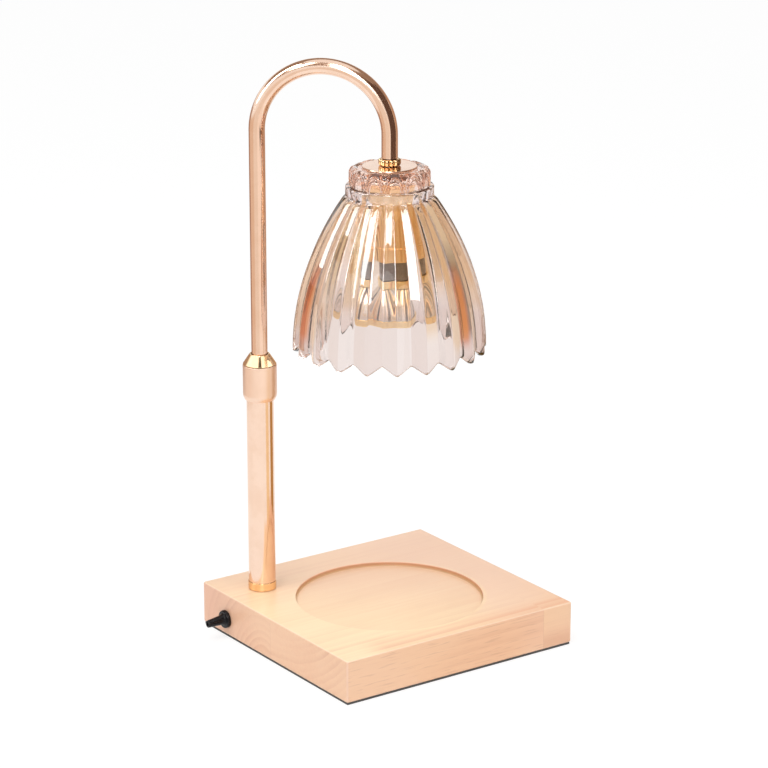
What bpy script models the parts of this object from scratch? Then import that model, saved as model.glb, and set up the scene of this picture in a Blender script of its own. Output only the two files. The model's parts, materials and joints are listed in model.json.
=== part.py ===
"""Candle warmer lamp: a wooden base, a telescopic goose-neck arm and a fluted glass shade.

Metres, +Z up. The origin is the middle of the pad's underside, +X runs right along the front
edge and +Y to the back. Run it with blender --background --python part.py.
"""

import math

import bmesh
import bpy
from mathutils import Vector

# Shared by all pieces.
GAP = 0.0003  # between two pieces that touch on the bench
CUT_OVERRUN = 0.002  # how far a cutter runs past the face that it opens
FINE_FACETS = 64
FACETS = 40
SMALL_FACETS = 24
TINY_FACETS = 16
SHARP_ANGLE = math.radians(32)
WELD_DISTANCE = 0.000005

# Wooden base, with a round seat for the candle and a wiring pocket underneath.
BASE_LENGTH = 0.170
BASE_DEPTH = 0.162
BLOCK_THICKNESS = 0.0267
BLOCK_EDGE = 0.0015
PAD_THICKNESS = 0.0012
PAD_INSET = 0.0008
SEAT_OFFSET_X = -0.0015
SEAT_OFFSET_Y = -0.0060
SEAT_MARGIN = 0.0162  # from the seat's rim to the front face
SEAT_DEPTH = 0.0025
SEAT_FLOOR_WOOD = 0.0062  # wood left between the seat's floor and the pocket
POST_INSET_X = 0.0255  # post's axis from the left face
POST_INSET_Y = 0.0300  # post's axis from the back face
POCKET_WALL = 0.0080  # wood left between the pocket and the left face
POCKET_LENGTH = 0.0560
POCKET_WIDTH = 0.0380

# Cord gland in the left face.
GLAND_HEIGHT_SHARE = 0.583  # its axis, as a share of the pocket's height
GLAND_OFFSET_Y = 0.0025  # its axis behind the post's axis
GLAND_FLANGE_RADIUS = 0.00575
GLAND_FLANGE_THICKNESS = 0.0023
GLAND_FLANGE_EDGE = 0.0006
GLAND_SNOUT_LENGTH = 0.0115
GLAND_ROOT_RADIUS = 0.0029
GLAND_TIP_RADIUS = 0.0020
GLAND_SHANK_RADIUS = 0.0034
GLAND_SHANK_SPARE = 0.0010  # shank beyond its nut
GLAND_BORE_RADIUS = 0.0013
GLAND_NUT_FLATS = 0.0100
GLAND_NUT_THICKNESS = 0.0030

# Connector block on the pocket's ceiling.
CONNECTOR_LENGTH = 0.0180
CONNECTOR_WIDTH = 0.0150
CONNECTOR_HEIGHT = 0.0120
CONNECTOR_EDGE = 0.0008
CONNECTOR_END_GAP = 0.0025  # from its far end to the pocket's end wall

# Post: foot, hollow stud, outer tube.
POST_RADIUS = 0.0085
POST_WALL = 0.0010
POST_LENGTH = 0.1314
FOOT_LIP = 0.0003  # how far the foot's ring stands out of the tube
FOOT_HEIGHT = 0.0048
FOOT_EDGE = 0.0005
FOOT_SPIGOT_LENGTH = 0.0103
STUD_RADIUS = 0.00485
STUD_BORE_RADIUS = 0.0025
STUD_SPARE = 0.0010  # stud below its nut
POST_WASHER_RADIUS = 0.0100
POST_WASHER_THICKNESS = 0.0015
POST_NUT_FLATS = 0.0140
POST_NUT_THICKNESS = 0.0050

# Twist lock at the top of the post.
COLLET_SPIGOT_LENGTH = 0.0080
COLLET_TIP_SPARE = 0.0037  # from the collet's tip to the cone's top
COLLET_TIP_WALL = 0.0009
COLLET_SLOT_WIDTH = 0.0010
COLLET_SLOT_LENGTH = 0.0090
SLEEVE_LAP = 0.0124  # sleeve below the post's top
SLEEVE_HEIGHT = 0.0214
SLEEVE_WALL = 0.00175
SLEEVE_CHAMFER = 0.0012
SLEEVE_CHAMFER_HEIGHT = 0.0030
SLEEVE_TOP_EDGE = 0.0004
CONE_HEIGHT = 0.0087
CONE_MOUTH_GAP = 0.0005
CONE_LIP = 0.00065
CONE_MOUTH_HEIGHT = 0.0012

# Goose-neck arm, guided in the post.
ARM_RADIUS = 0.0050
ARM_WALL = 0.0010
ARM_STAND = 0.1407  # straight tube above the lock's cone, at rest
ARM_INSERTION = 0.0738  # tube below the top of the lock's cone, at rest
ARM_DROP = 0.0140  # straight tube between the arch and the head
ARCH_SPANS = 22
ARM_TUBE_RESOLUTION = 8  # 20 sides
GUIDE_HEIGHT = 0.0120
GUIDE_LIFT = 0.0038  # guide's foot above the tube's lower end
GUIDE_EDGE = 0.0006
CLIP_WIDTH = 0.0015
CLIP_HEIGHT = 0.0020

# Head: nipple, beaded nut, cover disc and washer.
NIPPLE_BORE_RADIUS = 0.0025
NIPPLE_GRIP = 0.0123  # nipple inside the arm tube
HEAD_NUT_RADIUS = 0.0069
HEAD_NUT_HEIGHT = 0.0040
HEAD_NUT_BEADS = 18
HEAD_NUT_BEAD_DEPTH = 0.0006
BEAD_POINTS = 4
DISC_RADIUS = 0.0167
DISC_THICKNESS = 0.0012
DISC_EDGE = 0.0003
WASHER_RADIUS = 0.0130
WASHER_THICKNESS = 0.0018

# Pleated glass shade.
GLASS_HEIGHT = 0.1141
GLASS_WALL = 0.0024  # at a pleat's valley
GLASS_TOP_WALL = 0.0030
GLASS_HOLE_RADIUS = 0.0055
NECK_RADIUS = 0.0248
CROWN_ROUND = 0.0038
NECK_HEIGHT = 0.0098
SHOULDER_RADIUS = 0.0269
SHOULDER_LEDGE = 0.0006
SHOULDER_HEIGHT = 0.0067
FLARE_RADIUS = 0.0323
FLARE_HEIGHT = 0.0048
SKIRT_RADIUS = 0.0594
PLEATS = 20
PLEAT_DEPTH = 0.0024
PLEAT_DEPTH_AT_FLARE = 0.0014
PLEAT_TURN = math.radians(13.9)  # first crest, counted from the arm's direction
SCALLOP_DEPTH = 0.0055
COLUMNS_PER_PLEAT = 4
CROWN_SPANS = 3
SKIRT_SPANS = 8

# Lampholder in its cup.
CUP_RADIUS = 0.0150
CUP_WALL = 0.0012
CUP_HEIGHT = 0.0504
CUP_SHOULDER = 0.0018
CUP_LIP_HEIGHT = 0.0092
CUP_LIP_STEP = 0.0008
CUP_LIP_EDGE = 0.0004
CUP_NUT_FLATS = 0.0120
CUP_NUT_THICKNESS = 0.0040
NIPPLE_SPARE = 0.0010  # nipple below the cup's nut
BRACKET_HEIGHT = 0.0184
BRACKET_THICKNESS = 0.0010
BRACKET_WIDTH = 0.0080
BRACKET_SIDE_GAP = 0.0016  # from its legs to the cup's wall, at their corners
BRACKET_FOOT_LENGTH = 0.0058
HOLDER_RADIUS = 0.0125
HOLDER_HEIGHT = 0.0155
HOLDER_EDGE = 0.0006
SCREW_CIRCLE_RADIUS = 0.0080
SCREW_RADIUS = 0.0015
SCREW_HEAD_RADIUS = 0.0025
SCREW_HEAD_HEIGHT = 0.0020
SCREW_SPARE = 0.0012  # screw above the bracket's foot

# Bulb: twist-and-lock base, reflector and front glass.
PIN_CIRCLE_RADIUS = 0.0050
PIN_NECK_RADIUS = 0.0016
PIN_NECK_LENGTH = 0.0040
PIN_HEAD_RADIUS = 0.0025
PIN_HEAD_LENGTH = 0.0030
BULB_TWIST = math.radians(25)
BULB_TWIST_SPARE = math.radians(2)
SLOT_ARC_SPANS = 6
CONTACT_THICKNESS = 0.0008
CONTACT_WIDTH = 0.0036
CONTACT_LENGTH = 0.0040
TAB_WIDTH = 0.0020
TAB_THICKNESS = 0.0008
TAB_STAND = 0.0025  # tab above the lampholder's top
BULB_NECK_RADIUS = 0.0120
BULB_BODY_RADIUS = 0.0135
BULB_BODY_HEIGHT = 0.0259
BULB_BODY_SHOWN = 0.0112  # wide part of the body, below the cup
BULB_BODY_EDGE = 0.0006
RING_RADIUS = 0.0148
RING_HEIGHT = 0.0047
RING_EDGE = 0.0005
RING_BORE_RADIUS = 0.0118
REFLECTOR_HEIGHT = 0.0217
REFLECTOR_WALL = 0.0013
REFLECTOR_THROAT_RADIUS = 0.0052
REFLECTOR_SHOULDER_RADIUS = 0.0140
REFLECTOR_MOUTH_RADIUS = 0.0239
REFLECTOR_SPANS = 5
REFLECTOR_LOFT_SHARE = 0.70  # how full its curve is: 0 is a straight cone
RIM_RADIUS = 0.0250
RIM_HEIGHT = 0.0041
RIM_EDGE = 0.0007
RIM_LEDGE_HEIGHT = 0.0011
RIM_LEDGE_WIDTH = 0.0017
RIM_WALL = 0.0013
LENS_THICKNESS = 0.0015
CAPSULE_RADIUS = 0.0042
CAPSULE_LENGTH = 0.0190
CAPSULE_SPANS = 4

# Two-core lead inside the lamp.
LEAD_RADIUS = 0.0017
LEAD_RESOLUTION = 2  # 8 sides
LEAD_FLOOR_GAP = 0.0017
LEAD_SPAN = 0.0085
LEAD_ARCH_SPANS = 16
LEAD_JOINT_SHARE = 0.75  # height of the joint in the stud, as a share of the foot's spigot
SLACK_TURNS = 3
SLACK_POINTS_PER_TURN = 12
SLACK_WALL_GAP = 0.0019  # from the lead's slack turns to the post's inner wall

# Heights worked out from the sizes above, from the ground up.
BLOCK_BOTTOM = PAD_THICKNESS + GAP
BLOCK_TOP = BLOCK_BOTTOM + BLOCK_THICKNESS
SEAT_FLOOR = BLOCK_TOP - SEAT_DEPTH
POCKET_TOP = SEAT_FLOOR - SEAT_FLOOR_WOOD
FOOT_BOTTOM = BLOCK_TOP + GAP
FOOT_TOP = FOOT_BOTTOM + FOOT_HEIGHT
SPIGOT_TOP = FOOT_TOP + FOOT_SPIGOT_LENGTH
POST_BOTTOM = FOOT_TOP + GAP
POST_TOP = POST_BOTTOM + POST_LENGTH
POST_WASHER_TOP = POCKET_TOP - GAP
POST_NUT_TOP = POST_WASHER_TOP - POST_WASHER_THICKNESS - GAP
STUD_BOTTOM = POST_NUT_TOP - POST_NUT_THICKNESS - STUD_SPARE
LEAD_JOINT = FOOT_TOP + FOOT_SPIGOT_LENGTH * LEAD_JOINT_SHARE
SLEEVE_BOTTOM = POST_TOP - SLEEVE_LAP
SLEEVE_TOP = SLEEVE_BOTTOM + SLEEVE_HEIGHT
CONE_BOTTOM = SLEEVE_TOP + GAP
CONE_TOP = CONE_BOTTOM + CONE_HEIGHT
ARM_BOTTOM = CONE_TOP - ARM_INSERTION
ARCH_SPRING = CONE_TOP + ARM_STAND
HEAD_END = ARCH_SPRING - ARM_DROP
HEAD_NUT_TOP = HEAD_END - GAP
DISC_TOP = HEAD_NUT_TOP - HEAD_NUT_HEIGHT - GAP
GLASS_TOP = DISC_TOP - DISC_THICKNESS - GAP
WASHER_TOP = GLASS_TOP - GLASS_TOP_WALL - GAP
CUP_TOP = WASHER_TOP - WASHER_THICKNESS - GAP
CUP_BOTTOM = CUP_TOP - CUP_HEIGHT
BRACKET_TOP = CUP_TOP - CUP_WALL - GAP
CUP_NUT_TOP = BRACKET_TOP - BRACKET_THICKNESS - GAP
NIPPLE_BOTTOM = CUP_NUT_TOP - CUP_NUT_THICKNESS - NIPPLE_SPARE
BRACKET_BOTTOM = BRACKET_TOP - BRACKET_HEIGHT
HOLDER_TOP = BRACKET_BOTTOM - GAP
HOLDER_BOTTOM = HOLDER_TOP - HOLDER_HEIGHT
BULB_TOP = HOLDER_BOTTOM - GAP
PIN_BOTTOM = BULB_TOP + GAP
PIN_TOP = PIN_BOTTOM + PIN_NECK_LENGTH + PIN_HEAD_LENGTH
CONTACT_TOP = PIN_TOP + GAP + CONTACT_THICKNESS
BODY_BOTTOM = BULB_TOP - BULB_BODY_HEIGHT
RING_TOP = BODY_BOTTOM - GAP
RING_BOTTOM = RING_TOP - RING_HEIGHT
REFLECTOR_BOTTOM = RING_TOP - REFLECTOR_HEIGHT
RIM_TOP = REFLECTOR_BOTTOM - GAP
RIM_BOTTOM = RIM_TOP - RIM_HEIGHT

# Places worked out from the sizes above.
POST_X = POST_INSET_X - BASE_LENGTH / 2
POST_Y = BASE_DEPTH / 2 - POST_INSET_Y
SEAT_RADIUS = BASE_DEPTH / 2 + SEAT_OFFSET_Y - SEAT_MARGIN
ARM_REACH = math.hypot(SEAT_OFFSET_X - POST_X, SEAT_OFFSET_Y - POST_Y)
ARM_HEADING = math.atan2(SEAT_OFFSET_Y - POST_Y, SEAT_OFFSET_X - POST_X)
POCKET_LEFT = POCKET_WALL - BASE_LENGTH / 2
POCKET_RIGHT = POCKET_LEFT + POCKET_LENGTH
POST_BORE = POST_RADIUS - POST_WALL
ARM_BORE = ARM_RADIUS - ARM_WALL
NIPPLE_RADIUS = ARM_BORE - GAP
NIPPLE_HOLE = NIPPLE_RADIUS + GAP
STUD_HOLE = STUD_RADIUS + GAP
SLEEVE_BORE = POST_RADIUS + GAP
SLEEVE_RADIUS = SLEEVE_BORE + SLEEVE_WALL
CUP_BORE = CUP_RADIUS - CUP_WALL
LENS_RADIUS = RIM_RADIUS - RIM_WALL - GAP

# Colour, roughness, metallic and transmission of each finish.
FINISHES = {
    "beech": ((0.86, 0.66, 0.46), 0.55, 0.0, 0.0),
    "black_foam": ((0.02, 0.02, 0.02), 0.9, 0.0, 0.0),
    "black_plastic": ((0.015, 0.015, 0.018), 0.35, 0.0, 0.0),
    "rose_gold": ((0.88, 0.66, 0.52), 0.18, 1.0, 0.0),
    "bright_gold": ((0.90, 0.72, 0.42), 0.08, 1.0, 0.0),
    "brass": ((0.86, 0.66, 0.28), 0.2, 1.0, 0.0),
    "zinc": ((0.62, 0.63, 0.65), 0.35, 1.0, 0.0),
    "nylon": ((0.82, 0.80, 0.74), 0.45, 0.0, 0.0),
    "silicone": ((0.75, 0.75, 0.73), 0.6, 0.0, 0.0),
    "lustre_glass": ((0.97, 0.80, 0.68), 0.03, 0.0, 0.9),
    "clear_glass": ((0.95, 0.95, 0.95), 0.02, 0.0, 0.95),
    "steatite": ((0.86, 0.84, 0.78), 0.5, 0.0, 0.0),
    "grey_ceramic": ((0.35, 0.34, 0.34), 0.4, 0.0, 0.0),
    "silver_mirror": ((0.85, 0.85, 0.86), 0.06, 1.0, 0.0),
    "copper_spring": ((0.80, 0.52, 0.35), 0.3, 1.0, 0.0),
    "lead_jacket": ((0.88, 0.86, 0.80), 0.4, 0.0, 0.0),
}


def clear_scene():
    for obj in list(bpy.data.objects):
        bpy.data.objects.remove(obj)


def new_collection(name):
    collection = bpy.data.collections.new(name)
    bpy.context.scene.collection.children.link(collection)
    return collection


def finish_material(name):
    """The Principled material of a finish, made once."""
    if name in bpy.data.materials:
        return bpy.data.materials[name]
    colour, roughness, metallic, transmission = FINISHES[name]
    material = bpy.data.materials.new(name)
    material.use_nodes = True
    shader = material.node_tree.nodes["Principled BSDF"]
    shader.inputs["Base Color"].default_value = (*colour, 1.0)
    shader.inputs["Roughness"].default_value = roughness
    shader.inputs["Metallic"].default_value = metallic
    shader.inputs["Transmission Weight"].default_value = transmission
    material.diffuse_color = (*colour, 1.0)
    return material


def axis_empty(name, x, y, z=0.0, parent=None, rotation=(0.0, 0.0, 0.0)):
    """An empty on a joint's or a sub-assembly's axis."""
    empty = bpy.data.objects.new(name, None)
    empty.location = (x, y, z)
    empty.rotation_euler = rotation
    empty.parent = parent
    PARTS.objects.link(empty)
    return empty


def place(obj, parent, at, finish):
    """Put a piece in the parts' collection, on its parent's axis, in its finish."""
    PARTS.objects.link(obj)
    obj.parent = parent
    obj.location = at
    obj.data.materials.append(finish_material(finish))
    return obj


def smooth(mesh):
    mesh.shade_smooth()
    mesh.set_sharp_from_angle(angle=SHARP_ANGLE)
    return mesh


def settled_mesh(obj):
    """The object's evaluated shape as a welded mesh of its own. The object is removed."""
    bpy.context.scene.collection.objects.link(obj)
    graph = bpy.context.evaluated_depsgraph_get()
    mesh = bpy.data.meshes.new_from_object(obj.evaluated_get(graph))
    mesh.name = obj.name
    mesh.materials.clear()
    bpy.data.objects.remove(obj)
    shape = bmesh.new()
    shape.from_mesh(mesh)
    bmesh.ops.remove_doubles(shape, verts=shape.verts, dist=WELD_DISTANCE)
    shape.to_mesh(mesh)
    shape.free()
    return smooth(mesh)


def turned_mesh(name, profile, facets):
    """A profile of (radius, height) points, down the outer side, turned about +Z.

    It closes on itself round a bore, or ends on the axis at both ends.
    """
    mesh = bpy.data.meshes.new(name)
    count = len(profile)
    on_axis = profile[0][0] == 0
    edges = [(i, i + 1) for i in range(count - 1)]
    if not on_axis:
        edges.append((count - 1, 0))
    mesh.from_pydata([(radius, 0, height) for radius, height in profile], edges, [])
    guide = bpy.data.objects.new(name + "_profile", mesh)
    screw = guide.modifiers.new("turn", "SCREW")
    screw.axis = "Z"
    screw.steps = facets
    screw.render_steps = facets
    screw.use_merge_vertices = True
    screw.merge_threshold = WELD_DISTANCE
    return settled_mesh(guide)


def turned(name, profile, facets, parent, at, finish):
    obj = bpy.data.objects.new(name, turned_mesh(name, profile, facets))
    return place(obj, parent, at, finish)


def ring_profile(outer, inner, top, bottom, edge=0.0):
    """A plain ring, with its outer edges broken by a chamfer."""
    if not edge:
        return [(outer, top), (outer, bottom), (inner, bottom), (inner, top)]
    return [
        (outer - edge, top),
        (outer, top - edge),
        (outer, bottom + edge),
        (outer - edge, bottom),
        (inner, bottom),
        (inner, top),
    ]


def box_mesh(name, low, high):
    """A box between two corners."""
    mesh = bpy.data.meshes.new(name)
    shape = bmesh.new()
    bmesh.ops.create_cube(shape, size=1.0)
    low = Vector(low)
    high = Vector(high)
    bmesh.ops.scale(shape, verts=shape.verts, vec=high - low)
    bmesh.ops.translate(shape, verts=shape.verts, vec=(low + high) / 2)
    shape.to_mesh(mesh)
    shape.free()
    return mesh


def cylinder_mesh(name, radius, bottom, top, facets, x=0.0, y=0.0):
    """An upright cylinder between two heights."""
    mesh = bpy.data.meshes.new(name)
    shape = bmesh.new()
    bmesh.ops.create_cone(
        shape,
        cap_ends=True,
        segments=facets,
        radius1=radius,
        radius2=radius,
        depth=top - bottom,
    )
    bmesh.ops.translate(shape, verts=shape.verts, vec=(x, y, (top + bottom) / 2))
    shape.to_mesh(mesh)
    shape.free()
    return mesh


def circle_points(radius, facets):
    turns = [2 * math.pi * i / facets for i in range(facets)]
    return [(radius * math.cos(turn), radius * math.sin(turn)) for turn in turns]


def hexagon_points(flats):
    """A hexagon by its width across flats, with two flats level."""
    return circle_points(flats / 2 / math.cos(math.pi / 6), 6)


def plate_mesh(name, outlines, bottom, top):
    """A flat plate from closed outlines, the later ones being its holes."""
    curve = bpy.data.curves.new(name, "CURVE")
    curve.dimensions = "2D"
    curve.fill_mode = "BOTH"
    curve.extrude = (top - bottom) / 2
    for outline in outlines:
        spline = curve.splines.new("POLY")
        spline.points.add(len(outline) - 1)
        spline.use_cyclic_u = True
        for point, (x, y) in zip(spline.points, outline):
            point.co = (x, y, 0, 1)
    mesh = settled_mesh(bpy.data.objects.new(name + "_outline", curve))
    for vertex in mesh.vertices:
        vertex.co.z += (top + bottom) / 2
    return mesh


def path_curve(name, points, radius, resolution, capped):
    """A round rod or open tube along a path."""
    curve = bpy.data.curves.new(name, "CURVE")
    curve.dimensions = "3D"
    curve.bevel_depth = radius
    curve.bevel_resolution = resolution
    curve.use_fill_caps = capped
    spline = curve.splines.new("POLY")
    spline.points.add(len(points) - 1)
    for point, where in zip(spline.points, points):
        point.co = (*where, 1)
    return curve


def cutter(name, mesh, parent, at=(0.0, 0.0, 0.0)):
    """A helper that only cuts: it isn't a piece."""
    obj = bpy.data.objects.new(name, mesh)
    CUTTERS.objects.link(obj)
    obj.parent = parent
    obj.location = at
    obj.hide_render = True
    obj.display_type = "WIRE"
    return obj


def join(obj, helper, operation="DIFFERENCE"):
    boolean = obj.modifiers.new(helper.name, "BOOLEAN")
    boolean.operation = operation
    boolean.object = helper


def bevel(obj, width, segments):
    modifier = obj.modifiers.new("edges", "BEVEL")
    modifier.width = width
    modifier.segments = segments
    modifier.limit_method = "ANGLE"


def build_base(ground, post_axis):
    """Wooden block with the candle's seat, the wiring pocket and its holes, on a thin pad."""
    corner = (BASE_LENGTH / 2, BASE_DEPTH / 2)
    block = bpy.data.objects.new(
        "base_block",
        box_mesh(
            "base_block",
            (-corner[0], -corner[1], BLOCK_BOTTOM),
            (corner[0], corner[1], BLOCK_TOP),
        ),
    )
    place(block, ground, (0, 0, 0), "beech")
    bevel(block, BLOCK_EDGE, 3)
    seat = cylinder_mesh(
        "seat_cutter",
        SEAT_RADIUS,
        SEAT_FLOOR,
        BLOCK_TOP + CUT_OVERRUN,
        FINE_FACETS,
        SEAT_OFFSET_X,
        SEAT_OFFSET_Y,
    )
    pocket = box_mesh(
        "pocket_cutter",
        (POCKET_LEFT, POST_Y - POCKET_WIDTH / 2, BLOCK_BOTTOM - CUT_OVERRUN),
        (POCKET_RIGHT, POST_Y + POCKET_WIDTH / 2, POCKET_TOP),
    )
    stud_hole = cylinder_mesh(
        "stud_hole_cutter",
        STUD_HOLE,
        POCKET_TOP - CUT_OVERRUN,
        BLOCK_TOP + CUT_OVERRUN,
        SMALL_FACETS,
    )
    join(block, cutter("seat_cutter", seat, ground))
    join(block, cutter("pocket_cutter", pocket, ground))
    join(block, cutter("stud_hole_cutter", stud_hole, post_axis))

    pad = bpy.data.objects.new(
        "base_pad",
        box_mesh(
            "base_pad",
            (PAD_INSET - corner[0], PAD_INSET - corner[1], 0),
            (corner[0] - PAD_INSET, corner[1] - PAD_INSET, PAD_THICKNESS),
        ),
    )
    place(pad, ground, (0, 0, 0), "black_foam")

    connector = bpy.data.objects.new(
        "connector_block",
        box_mesh(
            "connector_block",
            (-CONNECTOR_LENGTH, -CONNECTOR_WIDTH / 2, -CONNECTOR_HEIGHT),
            (0, CONNECTOR_WIDTH / 2, 0),
        ),
    )
    place(connector, ground, (POCKET_RIGHT - CONNECTOR_END_GAP, POST_Y, POCKET_TOP - GAP), "nylon")
    bevel(connector, CONNECTOR_EDGE, 2)
    return block


def build_gland(ground, block):
    """Strain relief through the left wall. Its own +Z points out of the wood, to -X."""
    height = BLOCK_BOTTOM + (POCKET_TOP - BLOCK_BOTTOM) * GLAND_HEIGHT_SHARE
    outward = (0, -math.pi / 2, 0)
    left_face = -BASE_LENGTH / 2
    axis = axis_empty("gland_axis", left_face, POST_Y + GLAND_OFFSET_Y, height, ground, outward)
    flange_top = GAP + GLAND_FLANGE_THICKNESS
    nut_top = -POCKET_WALL - GAP
    shank_end = nut_top - GLAND_NUT_THICKNESS - GLAND_SHANK_SPARE
    profile = [
        (GLAND_TIP_RADIUS, flange_top + GLAND_SNOUT_LENGTH),
        (GLAND_ROOT_RADIUS, flange_top),
        (GLAND_FLANGE_RADIUS - GLAND_FLANGE_EDGE, flange_top),
        (GLAND_FLANGE_RADIUS, flange_top - GLAND_FLANGE_EDGE),
        (GLAND_FLANGE_RADIUS, GAP),
        (GLAND_SHANK_RADIUS, GAP),
        (GLAND_SHANK_RADIUS, shank_end),
        (GLAND_BORE_RADIUS, shank_end),
        (GLAND_BORE_RADIUS, flange_top + GLAND_SNOUT_LENGTH),
    ]
    turned("cord_gland", profile, SMALL_FACETS, axis, (0, 0, 0), "black_plastic")
    hole = GLAND_SHANK_RADIUS + GAP
    outlines = [hexagon_points(GLAND_NUT_FLATS), circle_points(hole, SMALL_FACETS)]
    nut_mesh = plate_mesh("gland_nut", outlines, nut_top - GLAND_NUT_THICKNESS, nut_top)
    place(bpy.data.objects.new("gland_nut", nut_mesh), axis, (0, 0, 0), "black_plastic")
    through = cylinder_mesh(
        "gland_hole_cutter", hole, nut_top - CUT_OVERRUN, CUT_OVERRUN, SMALL_FACETS
    )
    join(block, cutter("gland_hole_cutter", through, axis))


def build_post(post_axis):
    """Foot, hollow stud with its washer and nut, and the outer tube."""
    foot_radius = POST_RADIUS + FOOT_LIP
    spigot_radius = POST_BORE - GAP
    foot = [
        (spigot_radius, SPIGOT_TOP),
        (spigot_radius, FOOT_TOP),
        (foot_radius - FOOT_EDGE, FOOT_TOP),
        (foot_radius, FOOT_TOP - FOOT_EDGE),
        (foot_radius, FOOT_BOTTOM),
        (STUD_HOLE, FOOT_BOTTOM),
        (STUD_HOLE, SPIGOT_TOP),
    ]
    turned("post_foot", foot, FACETS, post_axis, (0, 0, 0), "rose_gold")
    stud = ring_profile(STUD_RADIUS, STUD_BORE_RADIUS, SPIGOT_TOP, STUD_BOTTOM)
    turned("post_stud", stud, SMALL_FACETS, post_axis, (0, 0, 0), "zinc")
    tube = ring_profile(POST_RADIUS, POST_BORE, POST_TOP, POST_BOTTOM)
    turned("lower_post", tube, FACETS, post_axis, (0, 0, 0), "rose_gold")
    washer_bottom = POST_WASHER_TOP - POST_WASHER_THICKNESS
    washer = ring_profile(POST_WASHER_RADIUS, STUD_HOLE, POST_WASHER_TOP, washer_bottom)
    turned("post_washer", washer, SMALL_FACETS, post_axis, (0, 0, 0), "zinc")
    outlines = [hexagon_points(POST_NUT_FLATS), circle_points(STUD_HOLE, SMALL_FACETS)]
    nut = plate_mesh("post_nut", outlines, POST_NUT_TOP - POST_NUT_THICKNESS, POST_NUT_TOP)
    place(bpy.data.objects.new("post_nut", nut), post_axis, (0, 0, 0), "zinc")


def build_lock(post_axis, lock_axis):
    """Split collet fixed in the post, and the sleeve and cone that turn round it."""
    bore = ARM_RADIUS + GAP
    tip_top = CONE_TOP - COLLET_TIP_SPARE
    collet = [
        (bore + COLLET_TIP_WALL, tip_top),
        (POST_RADIUS, SLEEVE_TOP - GAP),
        (POST_RADIUS, POST_TOP + GAP),
        (POST_BORE - GAP, POST_TOP + GAP),
        (POST_BORE - GAP, POST_TOP - COLLET_SPIGOT_LENGTH),
        (bore, POST_TOP - COLLET_SPIGOT_LENGTH),
        (bore, tip_top),
    ]
    piece = turned("lock_collet", collet, FACETS, post_axis, (0, 0, 0), "nylon")
    across = POST_RADIUS + CUT_OVERRUN
    for turn, size in enumerate(((across, COLLET_SLOT_WIDTH / 2), (COLLET_SLOT_WIDTH / 2, across))):
        slot = box_mesh(
            f"collet_slot_cutter_{turn + 1}",
            (-size[0], -size[1], tip_top - COLLET_SLOT_LENGTH),
            (size[0], size[1], tip_top + CUT_OVERRUN),
        )
        join(piece, cutter(f"collet_slot_cutter_{turn + 1}", slot, post_axis))
    sleeve = [
        (SLEEVE_RADIUS - SLEEVE_TOP_EDGE, SLEEVE_TOP),
        (SLEEVE_RADIUS, SLEEVE_TOP - SLEEVE_TOP_EDGE),
        (SLEEVE_RADIUS, SLEEVE_BOTTOM + SLEEVE_CHAMFER_HEIGHT),
        (SLEEVE_RADIUS - SLEEVE_CHAMFER, SLEEVE_BOTTOM),
        (SLEEVE_BORE, SLEEVE_BOTTOM),
        (SLEEVE_BORE, SLEEVE_TOP),
    ]
    turned("lock_sleeve", sleeve, FACETS, lock_axis, (0, 0, 0), "rose_gold")
    mouth = ARM_RADIUS + CONE_MOUTH_GAP
    cone = [
        (mouth + CONE_LIP, CONE_TOP),
        (SLEEVE_RADIUS, CONE_BOTTOM),
        (SLEEVE_BORE, CONE_BOTTOM),
        (mouth, CONE_TOP - CONE_MOUTH_HEIGHT),
        (mouth, CONE_TOP),
    ]
    turned("lock_cone", cone, FACETS, lock_axis, (0, 0, 0), "bright_gold")


def arm_path(spans):
    """The tube's middle line from its lower end over the arch to the head, in the arm's X and Z."""
    radius = ARM_REACH / 2
    points = [(0, 0, ARM_BOTTOM)]
    for i in range(spans + 1):
        turn = math.pi * (1 - i / spans)
        across = radius * (1 + math.cos(turn))
        points.append((across, 0, ARCH_SPRING + radius * math.sin(turn)))
    points.append((ARM_REACH, 0, HEAD_END))
    return points


def build_arm(slide_axis, swing_axis):
    """Goose-neck tube, with the guide that slides in the post and the clips that keep it."""
    curve = path_curve("arm_tube", arm_path(ARCH_SPANS), ARM_RADIUS, ARM_TUBE_RESOLUTION, False)
    mesh = settled_mesh(bpy.data.objects.new("arm_tube_path", curve))
    tube = place(bpy.data.objects.new("arm_tube", mesh), swing_axis, (0, 0, 0), "rose_gold")
    shell = tube.modifiers.new("wall", "SOLIDIFY")
    shell.thickness = ARM_WALL
    shell.offset = -1
    shell.use_even_offset = True
    guide_bottom = ARM_BOTTOM + GUIDE_LIFT
    guide_top = guide_bottom + GUIDE_HEIGHT
    bore = ARM_RADIUS + GAP
    guide = ring_profile(POST_BORE - GAP, bore, guide_top, guide_bottom, GUIDE_EDGE)
    turned("guide_bush", guide, FACETS, slide_axis, (0, 0, 0), "nylon")
    lower_top = guide_bottom - GAP
    upper_bottom = guide_top + GAP
    for name, top in (("tube_clip_lower", lower_top), ("tube_clip_upper", upper_bottom + CLIP_HEIGHT)):
        clip = ring_profile(bore + CLIP_WIDTH, bore, top, top - CLIP_HEIGHT)
        turned(name, clip, SMALL_FACETS, swing_axis, (0, 0, 0), "zinc")


def beaded_outline(radius, depth, beads):
    """A round outline with a bead for each lobe, meeting its neighbours in a notch."""
    count = beads * BEAD_POINTS
    points = []
    for i in range(count):
        dip = depth * (1 - abs(math.cos(math.pi * i / BEAD_POINTS)))
        turn = 2 * math.pi * i / count
        points.append(((radius - dip) * math.cos(turn), (radius - dip) * math.sin(turn)))
    return points


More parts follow.
